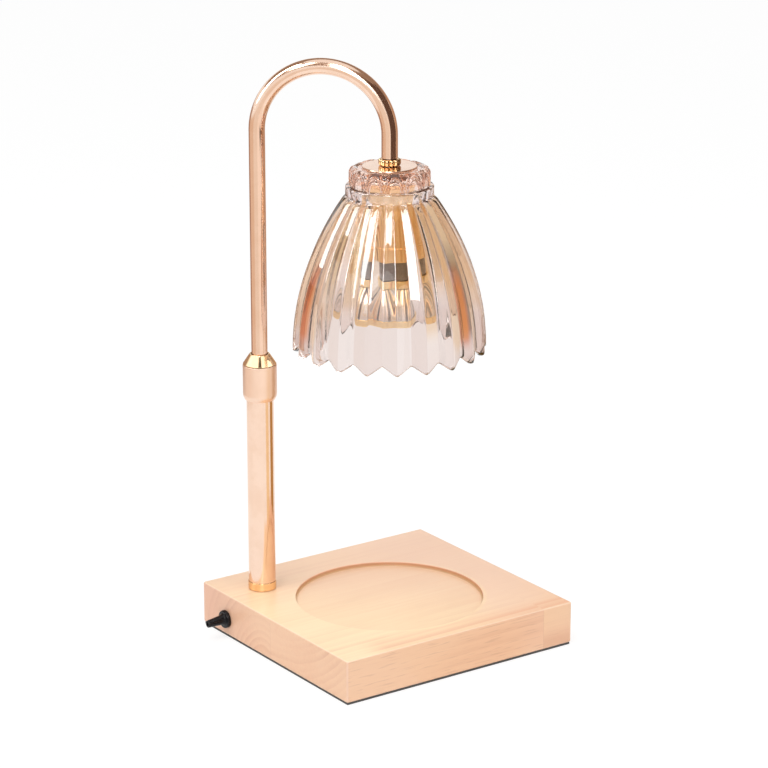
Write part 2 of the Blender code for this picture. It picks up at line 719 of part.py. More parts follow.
def build_head(head_axis):
    """What clamps the shade on the arm: nipple, beaded nut, cover disc and soft washer."""
    nipple = ring_profile(NIPPLE_RADIUS, NIPPLE_BORE_RADIUS, HEAD_END + NIPPLE_GRIP, NIPPLE_BOTTOM)
    turned("head_nipple", nipple, SMALL_FACETS, head_axis, (0, 0, 0), "zinc")
    outlines = [
        beaded_outline(HEAD_NUT_RADIUS, HEAD_NUT_BEAD_DEPTH, HEAD_NUT_BEADS),
        circle_points(NIPPLE_HOLE, SMALL_FACETS),
    ]
    nut = plate_mesh("head_nut", outlines, HEAD_NUT_TOP - HEAD_NUT_HEIGHT, HEAD_NUT_TOP)
    place(bpy.data.objects.new("head_nut", nut), head_axis, (0, 0, 0), "brass")
    disc = ring_profile(DISC_RADIUS, NIPPLE_HOLE, DISC_TOP, DISC_TOP - DISC_THICKNESS, DISC_EDGE)
    turned("cover_disc", disc, FACETS, head_axis, (0, 0, 0), "rose_gold")
    washer = ring_profile(WASHER_RADIUS, NIPPLE_HOLE, WASHER_TOP, WASHER_TOP - WASHER_THICKNESS)
    turned("shade_washer", washer, FACETS, head_axis, (0, 0, 0), "silicone")


def skirt_radius(share):
    """Crest radius down the skirt, a parabola that is upright at the lower edge."""
    return FLARE_RADIUS + (SKIRT_RADIUS - FLARE_RADIUS) * (1 - (1 - share) ** 2)


def shade_rings():
    """Rings of the shade as (radius, drop below its top, pleat depth, scallop).

    They run from the hole over the crown and down the pleated outer side, then back up
    the plain inner side to the hole.
    """
    flare_drop = NECK_HEIGHT + SHOULDER_LEDGE + SHOULDER_HEIGHT + FLARE_HEIGHT
    skirt_drop = GLASS_HEIGHT - flare_drop
    outer = [(GLASS_HOLE_RADIUS, 0, 0, 0)]
    for i in range(CROWN_SPANS + 1):
        turn = math.pi / 2 * i / CROWN_SPANS
        radius = NECK_RADIUS - CROWN_ROUND * (1 - math.sin(turn))
        outer.append((radius, CROWN_ROUND * (1 - math.cos(turn)), 0, 0))
    ledge_drop = NECK_HEIGHT + SHOULDER_LEDGE
    outer.append((NECK_RADIUS, NECK_HEIGHT, 0, 0))
    outer.append((SHOULDER_RADIUS, ledge_drop, 0, 0))
    outer.append((SHOULDER_RADIUS, ledge_drop + SHOULDER_HEIGHT, 0, 0))
    skirt = []
    for i in range(SKIRT_SPANS + 1):
        share = i / SKIRT_SPANS
        depth = PLEAT_DEPTH_AT_FLARE + (PLEAT_DEPTH - PLEAT_DEPTH_AT_FLARE) * share
        scallop = SCALLOP_DEPTH if i == SKIRT_SPANS else 0
        skirt.append((skirt_radius(share), flare_drop + skirt_drop * share, depth, scallop))
    inner = []
    for radius, drop, depth, scallop in reversed(skirt):
        inner.append((radius - depth - GLASS_WALL, drop, 0, scallop))
    neck_bore = NECK_RADIUS - GLASS_TOP_WALL
    inner.append((neck_bore, ledge_drop + SHOULDER_HEIGHT, 0, 0))
    inner.append((neck_bore, GLASS_TOP_WALL, 0, 0))
    inner.append((GLASS_HOLE_RADIUS, GLASS_TOP_WALL, 0, 0))
    return outer + skirt + inner


def build_shade(head_axis):
    """Pleated bell: each ring is a zigzag between its crests and valleys, lofted to the next."""
    rings = shade_rings()
    columns = PLEATS * COLUMNS_PER_PLEAT
    points = []
    for radius, drop, depth, scallop in rings:
        for i in range(columns):
            phase = i % COLUMNS_PER_PLEAT / COLUMNS_PER_PLEAT
            valley = 1 - abs(1 - 2 * phase)
            turn = PLEAT_TURN + 2 * math.pi * i / columns
            reach = radius - depth * valley
            height = scallop * valley - drop
            points.append((reach * math.cos(turn), reach * math.sin(turn), height))
    faces = []
    for ring in range(len(rings)):
        below = (ring + 1) % len(rings)
        for i in range(columns):
            beside = (i + 1) % columns
            faces.append(
                (
                    ring * columns + i,
                    below * columns + i,
                    below * columns + beside,
                    ring * columns + beside,
                )
            )
    mesh = bpy.data.meshes.new("glass_shade")
    mesh.from_pydata(points, [], faces)
    obj = bpy.data.objects.new("glass_shade", smooth(mesh))
    place(obj, head_axis, (0, 0, GLASS_TOP), "lustre_glass")


def build_cup(head_axis):
    """Metal cup over the lampholder, its nut, and the strap that carries the lampholder."""
    lip = CUP_RADIUS + CUP_LIP_STEP
    lip_top = CUP_BOTTOM + CUP_LIP_HEIGHT
    cup = [
        (CUP_RADIUS - CUP_SHOULDER, CUP_TOP),
        (CUP_RADIUS, CUP_TOP - CUP_SHOULDER),
        (CUP_RADIUS, lip_top),
        (lip, lip_top - CUP_LIP_STEP),
        (lip, CUP_BOTTOM + CUP_LIP_EDGE),
        (lip - CUP_LIP_EDGE, CUP_BOTTOM),
        (CUP_BORE, CUP_BOTTOM),
        (CUP_BORE, CUP_TOP - CUP_WALL),
        (NIPPLE_HOLE, CUP_TOP - CUP_WALL),
        (NIPPLE_HOLE, CUP_TOP),
    ]
    turned("lampholder_cup", cup, FACETS, head_axis, (0, 0, 0), "bright_gold")
    outlines = [hexagon_points(CUP_NUT_FLATS), circle_points(NIPPLE_HOLE, SMALL_FACETS)]
    nut = plate_mesh("cup_nut", outlines, CUP_NUT_TOP - CUP_NUT_THICKNESS, CUP_NUT_TOP)
    place(bpy.data.objects.new("cup_nut", nut), head_axis, (0, 0, 0), "brass")

    half_width = BRACKET_WIDTH / 2
    leg = math.sqrt((CUP_BORE - BRACKET_SIDE_GAP) ** 2 - half_width**2)
    inner_leg = leg - BRACKET_THICKNESS
    toe = leg - BRACKET_FOOT_LENGTH
    plate = BRACKET_TOP - BRACKET_THICKNESS
    foot = BRACKET_BOTTOM + BRACKET_THICKNESS
    strap = [
        (leg, BRACKET_TOP),
        (-leg, BRACKET_TOP),
        (-leg, BRACKET_BOTTOM),
        (-toe, BRACKET_BOTTOM),
        (-toe, foot),
        (-inner_leg, foot),
        (-inner_leg, plate),
        (inner_leg, plate),
        (inner_leg, foot),
        (toe, foot),
        (toe, BRACKET_BOTTOM),
        (leg, BRACKET_BOTTOM),
    ]
    mesh = plate_mesh("holder_bracket", [strap], -half_width, half_width)
    bracket = place(bpy.data.objects.new("holder_bracket", mesh), head_axis, (0, 0, 0), "zinc")
    bracket.rotation_euler = (math.pi / 2, 0, math.pi / 2)
    hole = cylinder_mesh(
        "bracket_hole_cutter",
        NIPPLE_HOLE,
        plate - CUT_OVERRUN,
        BRACKET_TOP + CUT_OVERRUN,
        SMALL_FACETS,
    )
    join(bracket, cutter("bracket_hole_cutter", hole, head_axis))
    return bracket


def slot_outline():
    """A pin's curved slot: round ends on the pin's circle, open for the bulb's twist."""
    half = PIN_HEAD_RADIUS + GAP
    start = BULB_TWIST_SPARE
    end = -BULB_TWIST - BULB_TWIST_SPARE

    def end_cap(turn, first):
        centre = (PIN_CIRCLE_RADIUS * math.cos(turn), PIN_CIRCLE_RADIUS * math.sin(turn))
        points = []
        for i in range(1, SLOT_ARC_SPANS):
            bend = first + math.pi * i / SLOT_ARC_SPANS
            points.append((centre[0] + half * math.cos(bend), centre[1] + half * math.sin(bend)))
        return points

    def arc(radius, first, last):
        turns = [first + (last - first) * i / SLOT_ARC_SPANS for i in range(SLOT_ARC_SPANS + 1)]
        return [(radius * math.cos(turn), radius * math.sin(turn)) for turn in turns]

    outer = arc(PIN_CIRCLE_RADIUS + half, end, start)
    inner = arc(PIN_CIRCLE_RADIUS - half, start, end)
    return outer + end_cap(start, start) + inner + end_cap(end, end + math.pi)


def build_holder(head_axis, bracket):
    """Ceramic lampholder with two curved slots, its screws and its spring contacts."""
    body = [
        (0, HOLDER_TOP),
        (HOLDER_RADIUS - HOLDER_EDGE, HOLDER_TOP),
        (HOLDER_RADIUS, HOLDER_TOP - HOLDER_EDGE),
        (HOLDER_RADIUS, HOLDER_BOTTOM + HOLDER_EDGE),
        (HOLDER_RADIUS - HOLDER_EDGE, HOLDER_BOTTOM),
        (0, HOLDER_BOTTOM),
    ]
    holder = turned("lampholder", body, FACETS, head_axis, (0, 0, 0), "steatite")
    slot_top = CONTACT_TOP + GAP
    head_top = HOLDER_BOTTOM + GAP + SCREW_HEAD_HEIGHT
    screw_top = BRACKET_BOTTOM + BRACKET_THICKNESS + SCREW_SPARE
    tab_half = (TAB_WIDTH / 2, TAB_THICKNESS / 2)
    for side, turn in (("right", 0.0), ("left", math.pi)):
        slot_axis = axis_empty(f"slot_axis_{side}", 0, 0, 0, head_axis, (0, 0, turn))
        slot = plate_mesh("slot", [slot_outline()], HOLDER_BOTTOM - CUT_OVERRUN, slot_top)
        join(holder, cutter(f"slot_cutter_{side}", slot, slot_axis))
        tab_hole = box_mesh(
            "tab_hole",
            (PIN_CIRCLE_RADIUS - tab_half[0] - GAP, -tab_half[1] - GAP, slot_top - CUT_OVERRUN),
            (PIN_CIRCLE_RADIUS + tab_half[0] + GAP, tab_half[1] + GAP, HOLDER_TOP + CUT_OVERRUN),
        )
        join(holder, cutter(f"tab_hole_cutter_{side}", tab_hole, slot_axis))
        leaf = box_mesh(
            f"holder_contact_{side}",
            (PIN_CIRCLE_RADIUS - CONTACT_WIDTH / 2, -CONTACT_LENGTH / 2, PIN_TOP + GAP),
            (PIN_CIRCLE_RADIUS + CONTACT_WIDTH / 2, CONTACT_LENGTH / 2, CONTACT_TOP),
        )
        contact = bpy.data.objects.new(f"holder_contact_{side}", leaf)
        place(contact, slot_axis, (0, 0, 0), "copper_spring")
        tab = box_mesh(
            "contact_tab",
            (PIN_CIRCLE_RADIUS - tab_half[0], -tab_half[1], CONTACT_TOP - CONTACT_THICKNESS / 2),
            (PIN_CIRCLE_RADIUS + tab_half[0], tab_half[1], HOLDER_TOP + TAB_STAND),
        )
        join(contact, cutter(f"contact_tab_{side}", tab, slot_axis), "UNION")

        screw = [
            (0, screw_top),
            (SCREW_RADIUS, screw_top),
            (SCREW_RADIUS, head_top),
            (SCREW_HEAD_RADIUS, head_top),
            (SCREW_HEAD_RADIUS, HOLDER_BOTTOM + GAP),
            (0, HOLDER_BOTTOM + GAP),
        ]
        beside = (0, SCREW_CIRCLE_RADIUS, 0)
        turned(f"holder_screw_{side}", screw, TINY_FACETS, slot_axis, beside, "zinc")
        bore = [
            (0, screw_top + CUT_OVERRUN),
            (SCREW_RADIUS + GAP, screw_top + CUT_OVERRUN),
            (SCREW_RADIUS + GAP, head_top + GAP),
            (SCREW_HEAD_RADIUS + GAP, head_top + GAP),
            (SCREW_HEAD_RADIUS + GAP, HOLDER_BOTTOM - CUT_OVERRUN),
            (0, HOLDER_BOTTOM - CUT_OVERRUN),
        ]
        screw_hole = turned_mesh("screw_hole", bore, TINY_FACETS)
        hole = cutter(f"screw_hole_cutter_{side}", screw_hole, slot_axis, beside)
        join(holder, hole)
        join(bracket, hole)


def reflector_profile():
    """Bowl that opens downwards, round a throat for the burner."""
    neck = RING_BORE_RADIUS - GAP
    shoulder = RING_BOTTOM - GAP
    outer = [(neck, RING_TOP), (neck, shoulder)]
    inner = []
    for i in range(REFLECTOR_SPANS + 1):
        share = i / REFLECTOR_SPANS
        full = share + REFLECTOR_LOFT_SHARE * share * (1 - share)
        radius = REFLECTOR_SHOULDER_RADIUS + (
            REFLECTOR_MOUTH_RADIUS - REFLECTOR_SHOULDER_RADIUS
        ) * full
        height = shoulder + (REFLECTOR_BOTTOM - shoulder) * share
        outer.append((radius, height))
        if i:
            inner.append((radius - REFLECTOR_WALL, height))
    inner.reverse()
    throat = [
        (REFLECTOR_THROAT_RADIUS, shoulder + REFLECTOR_WALL),
        (REFLECTOR_THROAT_RADIUS, RING_TOP),
    ]
    return outer + inner + throat


def build_bulb(twist_axis):
    """Spot bulb: body with two headed pins, gilt ring, reflector, burner, rim and front glass."""
    shown_top = BODY_BOTTOM + BULB_BODY_SHOWN
    body = [
        (0, BULB_TOP),
        (BULB_NECK_RADIUS - BULB_BODY_EDGE, BULB_TOP),
        (BULB_NECK_RADIUS, BULB_TOP - BULB_BODY_EDGE),
        (BULB_NECK_RADIUS, shown_top),
        (BULB_BODY_RADIUS - BULB_BODY_EDGE, shown_top),
        (BULB_BODY_RADIUS, shown_top - BULB_BODY_EDGE),
        (BULB_BODY_RADIUS, BODY_BOTTOM),
        (0, BODY_BOTTOM),
    ]
    turned("bulb_body", body, FACETS, twist_axis, (0, 0, 0), "grey_ceramic")
    pin = [
        (0, PIN_TOP),
        (PIN_HEAD_RADIUS, PIN_TOP),
        (PIN_HEAD_RADIUS, PIN_TOP - PIN_HEAD_LENGTH),
        (PIN_NECK_RADIUS, PIN_TOP - PIN_HEAD_LENGTH),
        (PIN_NECK_RADIUS, PIN_BOTTOM),
        (0, PIN_BOTTOM),
    ]
    for side, x in (("right", PIN_CIRCLE_RADIUS), ("left", -PIN_CIRCLE_RADIUS)):
        turned(f"bulb_pin_{side}", pin, TINY_FACETS, twist_axis, (x, 0, 0), "zinc")
    ring = ring_profile(RING_RADIUS, RING_BORE_RADIUS, RING_TOP, RING_BOTTOM, RING_EDGE)
    turned("bulb_collar", ring, FACETS, twist_axis, (0, 0, 0), "bright_gold")
    bowl = reflector_profile()
    turned("bulb_reflector", bowl, FACETS, twist_axis, (0, 0, 0), "silver_mirror")

    ledge_top = RIM_BOTTOM + RIM_LEDGE_HEIGHT
    seat = RIM_RADIUS - RIM_WALL
    rim = [
        (RIM_RADIUS, RIM_TOP),
        (RIM_RADIUS, RIM_BOTTOM + RIM_EDGE),
        (RIM_RADIUS - RIM_EDGE, RIM_BOTTOM),
        (seat - RIM_LEDGE_WIDTH, RIM_BOTTOM),
        (seat - RIM_LEDGE_WIDTH, ledge_top),
        (seat, ledge_top),
        (seat, RIM_TOP),
    ]
    turned("bulb_rim", rim, FACETS, twist_axis, (0, 0, 0), "bright_gold")
    lens_bottom = ledge_top + GAP
    lens_top = lens_bottom + LENS_THICKNESS
    lens = cylinder_mesh("bulb_lens", LENS_RADIUS, lens_bottom, lens_top, FACETS)
    place(bpy.data.objects.new("bulb_lens", smooth(lens)), twist_axis, (0, 0, 0), "clear_glass")

    capsule = [(0, RING_TOP)]
    round_top = RING_TOP - CAPSULE_LENGTH + CAPSULE_RADIUS
    capsule.append((CAPSULE_RADIUS, RING_TOP))
    for i in range(CAPSULE_SPANS + 1):
        turn = math.pi / 2 * i / CAPSULE_SPANS
        across = CAPSULE_RADIUS * math.cos(turn) if i < CAPSULE_SPANS else 0
        capsule.append((across, round_top - CAPSULE_RADIUS * math.sin(turn)))
    turned("bulb_capsule", capsule, SMALL_FACETS, twist_axis, (0, 0, 0), "clear_glass")


def straight(start, end, span):
    """Points from start up to, not including, end, about a span apart."""
    start = Vector(start)
    end = Vector(end)
    count = max(1, round((end - start).length / span))
    return [start.lerp(end, i / count) for i in range(count)]


def lead(name, points, parent):
    curve = path_curve(name, points, LEAD_RADIUS, LEAD_RESOLUTION, True)
    mesh = settled_mesh(bpy.data.objects.new(name + "_path", curve))
    return place(bpy.data.objects.new(name, mesh), parent, (0, 0, 0), "lead_jacket")


def build_base_lead(post_axis):
    """From the connector block, under the stud and up into the post's foot."""
    floor = PAD_THICKNESS + LEAD_FLOOR_GAP + LEAD_RADIUS
    bend = STUD_BOTTOM - floor
    block_face = POCKET_RIGHT - CONNECTOR_END_GAP - CONNECTOR_LENGTH - POST_X - GAP
    entry = POCKET_TOP - GAP - CONNECTOR_HEIGHT + LEAD_RADIUS
    points = straight((0, 0, LEAD_JOINT), (0, 0, STUD_BOTTOM), LEAD_SPAN)
    for i in range(6):
        turn = math.pi / 2 * i / 5
        points.append(Vector((bend * (1 - math.cos(turn)), 0, STUD_BOTTOM - bend * math.sin(turn))))
    for i in range(1, 7):
        share = i / 6
        rise = share * share * (3 - 2 * share)
        points.append(Vector((bend + (block_face - bend) * share, 0, floor + (entry - floor) * rise)))
    lead("base_lead", points, post_axis)


def build_post_lead(post_axis):
    """Slack stretch in the post: a loose helix that the arm's slide draws out or closes."""
    low = LEAD_JOINT + GAP
    high = ARM_BOTTOM - GAP
    tail = 2 * LEAD_RADIUS
    swing = POST_BORE - LEAD_RADIUS - SLACK_WALL_GAP
    clear = SPIGOT_TOP + tail
    points = straight((0, 0, low), (0, 0, clear), LEAD_SPAN)
    count = SLACK_TURNS * SLACK_POINTS_PER_TURN
    for i in range(count + 1):
        share = i / count
        ramp = min(1, 3 * share, 3 * (1 - share))
        reach = swing * ramp * ramp * (3 - 2 * ramp)
        turn = 2 * math.pi * SLACK_TURNS * share
        height = clear + (high - tail - clear) * share
        points.append(Vector((reach * math.cos(turn), reach * math.sin(turn), height)))
    points.append(Vector((0, 0, high)))
    lead("post_lead", points, post_axis)


def build_arm_lead(swing_axis):
    """From the tube's lower end, over the arch and through the nipple to the lampholder."""
    spring, *arch = [Vector(point) for point in arm_path(LEAD_ARCH_SPANS)[1:-1]]
    points = straight((0, 0, ARM_BOTTOM), spring, LEAD_SPAN)
    points.append(spring)
    points.extend(arch[:-1])
    last = (ARM_REACH, 0, HOLDER_TOP + GAP)
    points.extend(straight(arch[-1], last, LEAD_SPAN))
    points.append(Vector(last))
    lead("arm_lead", points, swing_axis)


def main():
    ground = axis_empty("ground", 0, 0)
    post_axis = axis_empty("post_axis", POST_X, POST_Y, 0, ground)
    lock_axis = axis_empty("lock_axis", 0, 0, 0, post_axis)
    slide_axis = axis_empty("slide_axis", 0, 0, 0, post_axis)
    swing_axis = axis_empty("swing_axis", 0, 0, 0, slide_axis, (0, 0, ARM_HEADING))
    head_axis = axis_empty("head_axis", ARM_REACH, 0, 0, swing_axis)
    twist_axis = axis_empty("twist_axis", 0, 0, 0, head_axis)

    block = build_base(ground, post_axis)
    build_gland(ground, block)
    build_post(post_axis)
    build_lock(post_axis, lock_axis)
    build_arm(slide_axis, swing_axis)
    build_head(head_axis)
    build_shade(head_axis)
    bracket = build_cup(head_axis)
    build_holder(head_axis, bracket)
    build_bulb(twist_axis)
    build_base_lead(post_axis)
    build_post_lead(post_axis)
    build_arm_lead(swing_axis)


clear_scene()
PARTS = new_collection("candle_warmer_lamp")
CUTTERS = new_collection("cutters")
main()
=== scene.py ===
"""Candle warmer lamp: visible surfaces, finishes and studio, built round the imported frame."""

import json
import logging
import math
from collections.abc import Sequence
from dataclasses import dataclass
from enum import Enum
from functools import cached_property

import bmesh
import bpy
import numpy as np
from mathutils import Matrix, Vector


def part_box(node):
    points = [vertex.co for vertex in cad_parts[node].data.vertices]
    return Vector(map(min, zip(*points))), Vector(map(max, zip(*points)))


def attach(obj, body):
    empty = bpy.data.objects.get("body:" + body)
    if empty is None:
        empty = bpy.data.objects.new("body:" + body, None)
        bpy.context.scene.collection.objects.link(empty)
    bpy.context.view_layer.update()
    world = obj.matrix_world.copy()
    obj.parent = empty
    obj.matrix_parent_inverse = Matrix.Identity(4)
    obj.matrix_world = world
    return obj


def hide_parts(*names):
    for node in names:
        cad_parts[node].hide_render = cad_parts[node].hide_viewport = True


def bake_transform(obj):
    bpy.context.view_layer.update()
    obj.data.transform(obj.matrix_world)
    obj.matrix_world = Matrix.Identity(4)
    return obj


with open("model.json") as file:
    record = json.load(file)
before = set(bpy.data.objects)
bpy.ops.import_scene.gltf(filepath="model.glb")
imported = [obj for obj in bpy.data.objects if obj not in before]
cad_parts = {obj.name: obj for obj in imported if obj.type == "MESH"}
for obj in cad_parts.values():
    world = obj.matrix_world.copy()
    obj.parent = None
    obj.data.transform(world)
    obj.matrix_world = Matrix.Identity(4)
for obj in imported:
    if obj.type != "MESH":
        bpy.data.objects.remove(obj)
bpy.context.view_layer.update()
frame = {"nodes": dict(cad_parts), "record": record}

LOG = logging.getLogger("candle_warmer_lamp")
FULL_TURN = 2.0 * math.pi
QUARTER_TURN = math.pi / 2.0
WELD_DISTANCE = 0.000002
CREASE_ANGLE = math.radians(36.0)

Pair = tuple[float, float]
Point = tuple[float, float, float]
Colour = tuple[float, float, float]
Mesh = bpy.types.Mesh
Socket = bpy.types.NodeSocket

WHITE: Colour = (1.0, 1.0, 1.0)
NO_LIGHT: Colour = (0.0, 0.0, 0.0)
POST: Pair = (-0.0595, 0.0510)
HEAD: Pair = (-0.0015, -0.0060)
SEAT_RADIUS = 0.0588
STUD_HOLE = 0.00515


class Body(Enum):
    """The frame's bodies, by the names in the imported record."""

    BASE = "base"
    COLLAR = "lock_collar"
    GUIDE = "arm_guide"
    ARM = "arm"
    BULB = "bulb"


class Slot(Enum):
    """The record's material slots."""

    BEECH = "beech"
    BLACK_FOAM = "black_foam"
    BLACK_PLASTIC = "black_plastic"
    ROSE_GOLD = "rose_gold"
    BRIGHT_GOLD = "bright_gold"
    BRASS = "brass"
    ZINC = "zinc"
    NYLON = "nylon"
    SILICONE = "silicone"
    LUSTRE_GLASS = "lustre_glass"
    CLEAR_GLASS = "clear_glass"
    STEATITE = "steatite"
    GREY_CERAMIC = "grey_ceramic"
    SILVER_MIRROR = "silver_mirror"
    COPPER_SPRING = "copper_spring"
    LEAD_JACKET = "lead_jacket"


class Effect(Enum):
    """Shader groups that more than one finish uses."""

    EDGE_WEAR = "edge_wear"
    FINE_MARKS = "fine_marks"
    MOTTLE = "mottle"
    DUST = "dust"


class Operation(Enum):
    """Math node operations, in words."""

    ADD = "ADD"
    TAKE = "SUBTRACT"
    TIMES = "MULTIPLY"
    POWER = "POWER"
    ROOT = "SQRT"
    SINE = "SINE"
    SIZE = "ABSOLUTE"
    PART = "FRACT"
    FLOOR = "FLOOR"
    ABOVE = "GREATER_THAN"
    BELOW = "LESS_THAN"
    MOST = "MAXIMUM"


class Bench:
    """Adds nodes to one node tree and joins them."""

    def __init__(self, tree: bpy.types.NodeTree, effects: "Effects | None" = None) -> None:
        """Starts with an empty tree.

        Args:
            tree: the node tree of a material, a world or a group.
            effects: the shared groups that a material places.
        """
        self.tree = tree
        self.effects = effects
        tree.nodes.clear()

    def node(
        self, kind: str, inputs: dict[str | int, object] | None = None, **settings: object
    ) -> bpy.types.Node:
        """Adds a node, sets its options and feeds its inputs.

        Args:
            kind: the node's type name without its common first part.
            inputs: values or sockets, by the input's name or number.
            settings: the node's own options.

        Returns:
            The new node.
        """
        node = self.tree.nodes.new("ShaderNode" + kind)
        for name, value in settings.items():
            setattr(node, name, value)
        for name, value in (inputs or {}).items():
            self.feed(node.inputs[name], value)
        return node

    def feed(self, socket: Socket, value: object) -> None:
        """Joins a socket to another, or sets its own value.

        Args:
            socket: the input.
            value: a socket, a colour or a number.
        """
        if isinstance(value, Socket):
            self.tree.links.new(value, socket)
        elif socket.type == "RGBA":
            socket.default_value = (*value, 1.0)
        else:
            socket.default_value = value

    def sum(self, operation: Operation, *values: object) -> Socket:
        """One Math node on one, two or three values."""
        return self.node("Math", dict(enumerate(values)), operation=operation.value).outputs[0]

    def chain(self, operation: Operation, values: Sequence[object]) -> Socket:
        """One operation carried on from value to value.

        Args:
            operation: what it does.
            values: two or more numbers or sockets.

        Returns:
            The last result.
        """
        result = values[0]
        for value in values[1:]:
            result = self.sum(operation, result, value)
        return result

    def add(self, *values: object) -> Socket:
        """The total of two or more values."""
        return self.chain(Operation.ADD, values)

    def times(self, *values: object) -> Socket:
        """The product of two or more values."""
        return self.chain(Operation.TIMES, values)

    def plus(self, value: object, other: object, share: float) -> Socket:
        """A value and a share of another."""
        return self.add(value, self.times(other, share))

    def swing(self, value: object, reach: float) -> Socket:
        """How far a value from 0 to 1 is above or below its middle, times the reach."""
        return self.times(self.add(value, -0.5), reach)

    def rest(self, value: object) -> Socket:
        """What a value leaves of 1."""
        return self.sum(Operation.TAKE, 1.0, value)

    def off(self, value: object, mark: float) -> Socket:
        """How far a value is from a mark, either way."""
        return self.sum(Operation.SIZE, self.add(value, -mark))

    def length(self, first: object, second: object) -> Socket:
        """The root of first * first + second * second."""
        squares = self.add(self.times(first, first), self.times(second, second))
        return self.sum(Operation.ROOT, squares)

    def step(
        self, value: object, start: float, end: float, low: float = 0.0, high: float = 1.0
    ) -> Socket:
        """A smooth step from low, where the value is at start, to high, where it is at end."""
        inputs = {"Value": value, "From Min": start, "From Max": end, "To Min": low, "To Max": high}
        return self.node("MapRange", inputs, interpolation_type="SMOOTHSTEP").outputs[0]

    def blend(self, share: object, first: object, second: object) -> Socket:
        """A colour between two, by a share from 0 to 1."""
        return self.node("Mix", {0: share, 6: first, 7: second}, data_type="RGBA").outputs[2]

    def stretch(self, vector: object, scale: object) -> Socket:
        """A vector times another, axis by axis."""
        return self.node("VectorMath", {0: vector, 1: scale}, operation="MULTIPLY").outputs[0]

    def noise(
        self, vector: object, scale: object, detail: float = 2.0, roughness: float = 0.5
    ) -> Socket:
        """Soft noise from 0 to 1, its scale in cells to a metre or a unit."""
        inputs = {"Vector": vector, "Scale": scale, "Detail": detail, "Roughness": roughness}
        return self.node("TexNoise", inputs).outputs["Fac"]

    def chance(self, number: object, seed: float) -> Socket:
        """A fixed random value from 0 to 1 for each whole number."""
        shifted = self.add(number, seed)
        return self.node("TexWhiteNoise", {"W": shifted}, noise_dimensions="1D").outputs["Value"]

    @cached_property
    def place(self) -> Socket:
        """Object coordinates, in metres in the row frame."""
        return self.node("TexCoord").outputs["Object"]

    def chart(self) -> tuple[Socket, ...]:
        """The U and V of the piece's own map, and a number that stays unused."""
        return self.axes(self.node("UVMap", uv_map="UVMap").outputs[0])

    def axes(self, vector: object) -> tuple[Socket, ...]:
        """The three numbers of a vector."""
        return tuple(self.node("SeparateXYZ", {0: vector}).outputs)

    def effect(self, effect: Effect, **inputs: object) -> bpy.types.NodeOutputs:
        """Places a shared group on Object coordinates and feeds its other inputs."""
        given = {"Vector": self.place, **inputs}
        return self.node("Group", given, node_tree=self.effects.trees[effect]).outputs

    def bump(self, strength: float, distance: float, height: object) -> Socket:
        """The normal of a fine relief, its distance in metres."""
        inputs = {"Strength": strength, "Distance": distance, "Height": height}
        return self.node("Bump", inputs).outputs[0]

    def glow(self, colour: Colour, strength: float = 1.0) -> Socket:
        """A surface that shines."""
        return self.node("Emission", {"Color": colour, "Strength": strength}).outputs[0]

    def mixed(self, share: object, first: Socket, second: Socket) -> Socket:
        """A shader between two, by a share from 0 to 1."""
        return self.node("MixShader", {0: share, 1: first, 2: second}).outputs[0]

    def principled(
        self, tone: object, rough: object, normal: Socket, more: dict[str, object]
    ) -> Socket:
        """A Principled shader, with its other inputs by name."""
        inputs = {"Base Color": tone, "Roughness": rough, "Normal": normal, **more}
        return self.node("BsdfPrincipled", inputs).outputs[0]


